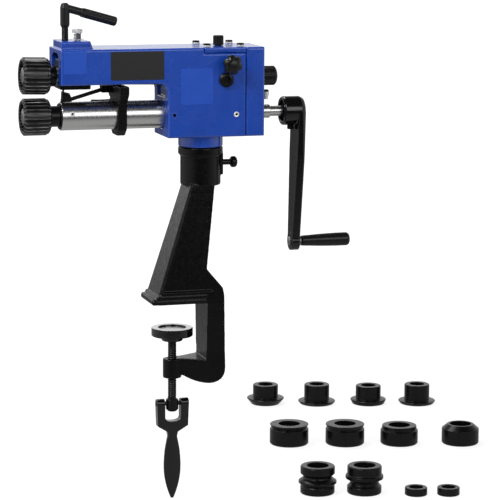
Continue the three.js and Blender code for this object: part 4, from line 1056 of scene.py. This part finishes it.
def makeSpindles():
    s = shaftSet
    thread, step, radius, seat = s["thread"], s["threadLength"], s["radius"], s["gearSeat"]
    fromRoller = rollerSet["recessDepth"] - s["noseStart"]  # from the roller's front face to the shaft's end
    nose = rollerSet["width"] - fromRoller
    front = [(0, 0), (0, thread), (step, thread), (step, s["nose"]), (nose, s["nose"]), (nose, radius)]
    low, high = span("lower_shaft")
    gearLow, gearHigh = span("lower_gear")
    length = high.x - low.x
    start, after = gearLow.x - 0.3 - low.x, gearHigh.x + 1 - low.x
    rear = [(start, radius), (start, seat), (after, seat), (after, s["crankEnd"]), (length, s["crankEnd"])]
    rows = front + rear + [(length, 0)]
    showTurned("lower_shaft", rows, steelBright, onDrive(low.x), toCrank, 72, 0.4)
    at = trunnion - upperLine * (upperReach() + rollerSet["width"] / 2 - fromRoller)
    length = (span("upper_shaft")[1].x - at.x) / upperLine.x - 0.2
    start, bore = length - s["endDepth"], s["endBore"]
    rear = [(start, radius), (start, seat), (length, seat), (length, bore), (start, bore), (start, 0)]
    showTurned("upper_shaft", front + rear, steelBright, at, upperLine, 72, 0.4)
    low, high = span("shaft_collar")
    rows = ringRows(s["crankEnd"] + 0.3, s["collar"], 0, high.x - low.x)
    showTurned("shaft_collar", rows, steelBright, onDrive(low.x), toCrank, 72, 0.6)


makeSpindles()

print("crank")

crankArm = {
    "voxel": 0.7, "rub": 4, "finalRub": 4, "hubRadius": 20.3, "hubLength": 31.8, "hubRound": 7, "cup": 15,
    "cupDepth": 7, "bore": 7.55, "lean": 6, "length": 185, "neck": 60, "neckLoss": 0.9, "taper": 6.6,
    "softened": 70,
}


# The outer face of the arm leans in from the hub to the grip, and its long edges are rounded off
def roundArm(mesh, hubEnd):
    s = crankArm
    for vertex in mesh.vertices:
        down = driveAxis.z - vertex.co.z
        if down < -0.5:
            continue
        half = s["hubRadius"] - s["neckLoss"] * min(1, down / s["neck"])
        half -= s["taper"] * max(0, (down - s["neck"]) / (s["length"] - s["neck"]))
        corner = s["hubRound"] - 4 * min(1, down / s["softened"])
        inset = min(corner, max(0, abs(vertex.co.y) - half + corner))
        outside = hubEnd - s["lean"] * down / s["length"]
        vertex.co.x = min(vertex.co.x, outside - corner + math.sqrt(corner ** 2 - inset ** 2))


def makeCrankArm():
    s = crankArm
    low = span("crank_arm")[0]
    radius, end, round_, bore = s["hubRadius"], s["hubLength"], s["hubRound"], s["bore"]
    hub = turn("hub", [
        (0, s["cup"]), (0, radius - 1.5), (1.5, radius), (end - round_, radius),
        (end - round_ / 4, radius - round_ / 3), (end, radius - round_), (end, bore), (s["cupDepth"], bore),
        (s["cupDepth"], s["cup"]), (0, s["cup"]),
    ], 112, 2.5)
    put(hub, onDrive(low.x), toCrank)
    arm = castFrom("crank_arm", s["voxel"], s["rub"], (hub,))
    roundArm(arm.data, low.x + end)
    modify(arm, "SMOOTH", factor=0.5, iterations=s["finalRub"])
    show(settle(arm), enamelGloss, "crank_arm", sharp=0)
    low, high = span("crank_set_screw")
    rows = [(low.z, 0), (low.z, 3.6), (low.z + 1, 4.6), (high.z, 4.6), (high.z, 0)]
    screw = carve(turn("crankSetScrew", rows, 40, 0.3), hexagon(2.4, low.z - 1, low.z + 2.6))
    show(put(screw, ((low.x + high.x) / 2, 0, 0)), screwBlack, "crank_set_screw")


makeCrankArm()

gripSet = {"neck": 7.3, "end": 9.4, "stud": 4.2, "boreStop": 12, "rivet": 6.6, "rivetTop": 2.5, "washer": 7.6}


def makeGrip():
    s = gripSet
    low, high = span("crank_grip")
    length = high.x - low.x
    z = (low.z + high.z) / 2
    neck, end, stud, blind = s["neck"], s["end"], s["stud"], length - s["boreStop"]
    rows = [
        (blind, 0), (blind, stud + 0.5), (0, stud + 0.5), (0, neck - 0.8), (1, neck), (12, neck + 0.5),
        (26, neck + 1.3), (40, end - 0.3), (52, end), (length - 4, end), (length - 1.2, end - 1.6),
        (length, end - 5), (length, 0),
    ]
    showTurned("crank_grip", rows, plastic, (low.x, 0, z), toCrank, 96, 2, sharp=60)
    gripStart = low.x
    low, high = span("handle_stud")
    length = high.x - low.x
    washer, wide, rivet = gripStart - 4.1 - low.x, s["washer"], s["rivetTop"]
    rows = [(0, 0), (0.2, 3.6), (1.2, 6), (rivet, s["rivet"]), (rivet, stud), (washer, stud), (washer, wide)]
    rows += [(washer + 2.1, wide), (washer + 2.1, stud), (length, stud), (length, 0)]
    showTurned("handle_stud", rows, steelNut, (low.x, 0, z), toCrank, 48, 0.3)


makeGrip()

print("pressure screw")

pressSet = {
    "radius": 4.7, "pitch": 1.5, "depth": 0.4, "rowsPerTurn": 6, "sleeve": 6.4, "elbow": 146.7, "bar": 5.4,
    "grip": 6.6, "run": 71, "fall": 20, "gripStart": 24, "ribs": 16, "ribDepth": 0.35,
}


def makePressureScrew():
    s = pressSet
    low, high = span("pressure_screw")
    radius = s["radius"]
    below = [(low.z, 0), (low.z, radius - 1), (low.z + 4, radius - 1), (low.z + 5, radius)]
    above = [(high.z, radius), (high.z, 0)]
    showThreaded("pressure_screw", below, above, s, low.z + 6, high.z - 10, (pressAxis.x, 0, 0), 36)


def makePressureHandle():
    s = pressSet
    low, high = span("pressure_handle")
    elbow, sleeve, grip = driveAxis.z + s["elbow"], s["sleeve"], s["grip"]
    rows = [
        (low.z, s["radius"] + 0.3), (low.z, sleeve - 1.2), (low.z + 3, sleeve), (elbow, sleeve),
        (elbow + 4.6, sleeve - 1.2), (high.z, sleeve - 3.5), (high.z, 0),
    ]
    post = put(turn("pressureHandle", rows, 64, 1.2), (pressAxis.x, 0, 0))
    length = math.hypot(s["run"], s["fall"])
    start = s["gripStart"]

    def ribs(angle, radius, height):
        return min(radius, grip - s["ribDepth"] * (0.5 + 0.5 * math.cos(s["ribs"] * angle)))

    rows = [(-3, 0), (-3, s["bar"]), (start - 2, s["bar"]), (start, grip - 0.3)]
    rows += [(start + (length - start - 2) * step / 10, grip) for step in range(1, 11)]
    rows += [(length, grip - 1.6), (length, 0)]
    bar = put(turn("bar", rows, 128, 0.6, ribs), (pressAxis.x, 0, elbow), (s["run"], 0, -s["fall"]))
    show(joinInto(post, bar), rubber, "pressure_handle")


makePressureScrew()
makePressureHandle()

print("fence and knobs")

showCast("fence_bracket", enamelBlack, 0.7, 4)
showCast("fence_lock_lever", screwBlack, 0.45, 4)
showCast("stop_rod", screwBlack, 0.45, 3)

starKnob = {"lobes": 6, "radius": 13, "swing": 1.1, "start": 0.3, "neck": 4, "neckLength": 17}


def makeStarKnob():
    s = starKnob
    low, high = span("star_knob")
    length, neck = high.y - low.y, s["neckLength"]

    def lobe(angle, radius, height):
        if height <= neck + 1:
            return radius
        phase = s["lobes"] * (angle + s["start"])
        swing = s["swing"] * (radius / s["radius"]) ** 3
        return radius + swing * (math.cos(phase) - 0.25 * math.cos(2 * phase))

    rows = [(0, 0), (0, s["neck"]), (neck, s["neck"]), (neck, 7.5), (length - 13.5, 6.5), (length - 12, 10.4)]
    rows += [(length - 10.6, 12.4), (length - 9, s["radius"]), (length - 6.6, 12.9), (length - 4.2, 11.6)]
    rows += [(length - 2.2, 9), (length - 0.7, 5.4), (length - 0.1, 2.4), (length, 0)]
    at = ((low.x + high.x) / 2, high.y, (low.z + high.z) / 2)
    showTurned("star_knob", rows, plastic, at, toViewer, 168, 1.2, lobe, 0)


makeStarKnob()

# A turned knob with round grooves down its side
def showFluted(node, rows, s, at, along=upward, ease=0.5):
    wave = fluteWave(s["flutes"], s["fluteDepth"], s["fluteShare"], s["radius"])
    showTurned(node, rows, plastic, at, along, s["flutes"] * 10, ease, wave, 50)


alignKnob = {
    "radius": 13.5, "length": 22.5, "stem": 2.5, "nut": 5, "nutLength": 4.3, "neck": 8, "neckLength": 5,
    "flutes": 30, "fluteDepth": 0.7, "fluteShare": 0.6,
}


def makeAlignKnob():
    s = alignKnob
    low, high = span("align_knob")
    end = high.x - low.x
    start = end - s["length"]
    neck = start - s["neckLength"]
    nut, radius = neck - s["nutLength"], s["radius"]
    rows = [(0, 0), (0, s["stem"]), (nut, s["stem"]), (nut, s["nut"]), (neck + 0.3, s["nut"])]
    rows += [(neck + 0.3, s["neck"]), (start, s["neck"]), (start, radius - 1.4), (start + 1.5, radius)]
    rows += [(end - 3, radius), (end - 0.8, radius - 2.2), (end, radius - 4), (end, 6), (end - 1, 5.4)]
    rows.append((end - 1, 0))
    showFluted("align_knob", rows, s, (low.x, 0, (low.z + high.z) / 2), toCrank, 0.9)


makeAlignKnob()

topKnob = {"radius": 7.3, "height": 13.5, "stem": 4, "flutes": 20, "fluteDepth": 0.5, "fluteShare": 0.6}


def makeTopKnob():
    s = topKnob
    low, high = span("top_knob")
    base, radius, stem = high.z - s["height"], s["radius"], s["stem"]
    rows = [(low.z, 0), (low.z, stem), (base, stem), (base, radius - 0.7), (base + 1, radius)]
    rows += [(high.z - 1.2, radius), (high.z, radius - 1.1), (high.z, 0)]
    showFluted("top_knob", rows, s, ((low.x + high.x) / 2, 0, 0))


makeTopKnob()

print("loose rolls")

looseRolls = {
    "bore": 10.4,
    # radius of the foot and of the flange, thickness of the flange, height of the roll
    "flanged": [(23.5, 31.7, 9.6, 33.4), (28, 31.7, 4.2, 33.5), (27, 30.4, 6.6, 31.2), (28, 31.5, 4.2, 33.2)],
    "hub": 21.3,
    # heights and radii up the working edge
    "wide": [
        [(24.6, 30.7), (26.8, 27.8), (31.4, 30.7), (32.3, 30.2)],
        [(23.8, 30.8), (26, 28.6), (31.2, 30.8), (32.3, 30.2)],
        [(21.8, 29.7), (24, 27.6), (29, 27.2), (29.6, 26.6)],
        [(24, 29.4), (31.2, 20.9)],
    ],
    "double": [
        [
            (10.5, 25.2), (12, 23.8), (13.8, 25.6), (16, 27.9), (18.8, 27.9), (23.2, 21.6), (26, 20.8),
            (30, 25.2),
        ],
        [(10.3, 25.2), (14, 21.6), (17, 21), (19.6, 22.4), (22, 27.7), (26.2, 27.7), (28.8, 25.2)],
    ],
    "doubleRadius": 25.2,
    "doubleHeight": 41.3,
    "ringRadius": 16.4,
    "ringHeight": 11.3,
}


# The profile goes up the outside and back down the bore, which is wider from the step to the top
def makeRoll(node, outer, mouth, step, ease=0.7):
    low, high = span(node)
    bore, top = looseRolls["bore"], outer[-1][0]
    rows = eased([(0, bore), *outer, (top, mouth), (step, mouth), (step, bore), (0, bore)], ease)
    at = ((low.x + high.x) / 2, (low.y + high.y) / 2, low.z)
    showTurned(node, rows, steelBlack, at, steps=144, ease=0)


def makeRolls():
    s = looseRolls
    hub = s["hub"]
    for number, (foot, radius, edge, top) in enumerate(s["flanged"], 1):
        outer = [(0, foot), (edge, radius), (edge + 1.2, radius - 0.6), (edge + 2, hub)]
        makeRoll(f"flanged_roll_{number}", outer + [(top - 1, hub), (top, hub - 1)], 12.5, 22)
    for number, edge in enumerate(s["wide"], 1):
        body = edge[0][1]
        makeRoll(f"wide_roll_{number}", [(0, body - 1.8), (2, body), *edge], 17, 20)
    radius, top = s["doubleRadius"], s["doubleHeight"]
    for number, edge in enumerate(s["double"], 1):
        outer = [(0, radius - 1.2), (1.5, radius), *edge, (top - 1.5, radius), (top, radius - 1.2)]
        makeRoll(f"double_roll_{number}", outer, 15.9, 28, 1.2)
    radius, top = s["ringRadius"], s["ringHeight"]
    outer = [(0, radius - 0.8), (0.8, radius), (top - 0.8, radius), (top, radius - 0.8)]
    for number in (1, 2):
        makeRoll(f"spacer_ring_{number}", outer, s["bore"], 5, 0.4)


makeRolls()

wear(enamelBlack, "shaft_carrier")
wear(screwBlack, "upper_gear", "lower_gear", "pressure_pad")
wear(bronze, "lower_bearing", "thrust_sleeve")

print("small fittings on the head")

frontFace = span("head_casting")[0].y
plates = {
    "armPlate": {"x": (-95.5, -21.5), "z": (312.5, 351.0), "corner": 1.5, "finish": plateBlack},
    "armPatch": {"x": (-160.3, -128.8), "z": (322.0, 352.0), "corner": 1.5, "finish": plateBlue},
    "boxPatch": {"x": (1.7, 47.5), "z": (277.6, 326.6), "corner": 2.0, "finish": plateBlue},
}


def roundedBox(left, right, low, high, radius, cuts=5):
    points = []
    for x, z, start in ((right, high, 0), (left, high, 1), (left, low, 2), (right, low, 3)):
        across = x - radius if x == right else x + radius
        up = z - radius if z == high else z + radius
        for cut in range(cuts + 1):
            angle = math.pi / 2 * (start + cut / cuts)
            points.append((across + radius * math.cos(angle), up + radius * math.sin(angle)))
    return points


def makePlates():
    upright = Matrix.Translation((0, frontFace, 0)) @ Matrix.Rotation(math.pi / 2, 4, "X")
    for name, s in plates.items():
        plate = slab(name, roundedBox(*s["x"], *s["z"], s["corner"]), -0.35, 0.25, 0.12)
        plate.data.transform(upright)
        show(plate, s["finish"], body="head")


makePlates()

boxScrew = {"x": 40.2, "z": 0.8, "radius": 3.9, "socket": 1.9, "proud": 1.1}


def makeBoxScrew():
    s = boxScrew
    at = (swivel.x + s["x"], frontFace, driveAxis.z + s["z"])
    flushScrew("boxScrew", s["radius"], s["socket"], s["proud"], at, toViewer, "head")


makeBoxScrew()

print("floor, light and camera")

# Distances are in millimetres from the middle of the floor, and the others are shares or strengths of light
stage = {
    "half": 60000, "drop": 0.3,
    "paper": 0.84, "bounce": 0.58, "white": 0.72, "whiteGlow": 1.16, "whiteFrom": 720, "whiteRun": 900,
    "near": 0.45, "front": 0.04, "back": 0.12, "side": 0.80, "farFrom": 680, "farRun": 1700,
    "sideLean": 0.15, "sideGain": 2.2, "sideStart": 1.15, "again": 0.85,
}


# The camera sees white. The metal sees a painted reflection: a glow on the floor that stands for lit paper near
# the machine, a dark room beyond it and white screens at both sides
def paleFloor():
    s = stage
    b = Board("pale_floor")
    path = b.node("ShaderNodeLightPath")
    seenByCamera = b.out(path, "Is Camera Ray")
    spot = b.spot()
    away = b.out(b.vectors("LENGTH", spot), "Value")
    across, deep, _ = b.split(spot)
    clear = b.ramp(b.limited((away - s["whiteFrom"]) / s["whiteRun"]), s["white"], 1)  # far off all is white
    paper, bounce = [
        b.out(b.node("ShaderNodeBsdfDiffuse", None, {"Color": grey(s[key])})) for key in ("paper", "bounce")
    ]
    paper = b.mixed(seenByCamera, bounce, paper)
    seen = b.mixed(seenByCamera * clear, paper, b.glow(s["whiteGlow"]))
    far = b.limited((away - s["farFrom"]) / s["farRun"])
    sideways = b.absolute(across - deep * s["sideLean"]) / (away + 1)
    beside = b.limited(sideways * s["sideGain"] - s["sideStart"]) * far
    dim = b.mixed(b.limited(deep / 1000 + 0.5), b.glow(s["front"]), b.glow(s["back"]))
    sheen = b.mixed(far, b.glow(s["near"]), dim)
    sheen = b.mixed(beside, sheen, b.glow(s["side"]))
    # Painted reflection: the floor's glow is dimmer where the metal sees it by way of another thing
    again = b.limited(b.out(path, "Ray Depth") - 1) * s["again"]  # dimmer in one thing by way of another
    sheen = b.mixed(again, sheen, b.glow(s["front"]))
    b.node("ShaderNodeOutputMaterial", None, {"Surface": b.mixed(b.mirrored(path), seen, sheen)})
    return b.material


def makeFloor():
    half = stage["half"] / perMetre
    mesh = bpy.data.meshes.new("floor")
    corners = [(-half, -half, 0), (half, -half, 0), (half, half, 0), (-half, half, 0)]
    mesh.from_pydata(corners, [], [(0, 1, 2, 3)])
    mesh.materials.append(paleFloor())
    floor = added("floor", mesh)
    floor.location.z = (span("spacer_ring_1")[0].z - stage["drop"]) / perMetre


room = {"light": 0.34, "dim": 0.05, "white": 1.0}


# The camera sees white, and the metal sees a dim room in front of it and overhead
def makeWorld():
    world = bpy.data.worlds.new("studio")
    bpy.context.scene.world = world
    b = Board("studio", world)
    path = b.node("ShaderNodeLightPath")
    across, deep, up = b.split(b.out(b.node("ShaderNodeTexCoord"), "Generated"))
    dark = b.limited(b.limited(0.35 - deep * 1.8) + b.limited(up * 3 - 1.0))
    dark = dark * b.limited(1.7 - b.absolute(across) * 1.5)
    light, dim, white = [
        b.out(b.node("ShaderNodeBackground", None, {"Color": grey(1), "Strength": strength}))
        for strength in room.values()
    ]
    seen = b.mixed(b.mirrored(path), light, b.mixed(dark, white, dim))
    b.node("ShaderNodeOutputWorld", None, {"Surface": b.mixed(b.out(path, "Is Camera Ray"), seen, white)})


# Places and sizes in metres
lampTarget = Vector((0, 0, 0.15))
lamps = {
    "frontBox": {"at": (0.80, -2.60, 1.12), "size": (2.2, 1.2), "watts": 22},
    "keyLamp": {"at": (-2.15, -1.35, 2.20), "size": (1.4, 1.2), "watts": 70},
    "backLamp": {"at": (-0.2, 1.6, 2.6), "size": (1.8, 1.2), "watts": 40},
}


def makeLamps():
    for name, s in lamps.items():
        light = bpy.data.lights.new(name, "AREA")
        light.shape = "RECTANGLE"
        light.size, light.size_y = s["size"]
        light.energy = s["watts"]
        lamp = added(name, light)
        lamp.location = s["at"]
        lamp.rotation_euler = (lampTarget - lamp.location).to_track_quat("-Z", "Y").to_euler()


# The eye in metres, the angles in degrees
view = {"eye": (-0.8076, -3.0436, 0.5954), "across": 16.83, "down": 9.44, "roll": 0.333, "lens": 165.36}


def makeCamera():
    across, down, roll = [math.radians(view[key]) for key in ("across", "down", "roll")]
    forward = Vector((math.sin(across) * math.cos(down), math.cos(across) * math.cos(down), -math.sin(down)))
    right = Vector((math.cos(across), -math.sin(across), 0))
    up = right.cross(forward)
    rolledRight = right * math.cos(roll) + up * math.sin(roll)
    rolledUp = up * math.cos(roll) - right * math.sin(roll)
    camera = bpy.data.cameras.new("camera")
    camera.lens = view["lens"]
    camera.sensor_width = 36
    camera.clip_end = 200
    holder = added("camera", camera)
    turned = Matrix((rolledRight, rolledUp, -forward)).transposed()
    holder.matrix_world = Matrix.Translation(view["eye"]) @ turned.to_4x4()
    bpy.context.scene.camera = holder


makeFloor()
makeWorld()
makeLamps()
makeCamera()
bpy.context.scene.view_settings.view_transform = "Standard"

print("pieces done")
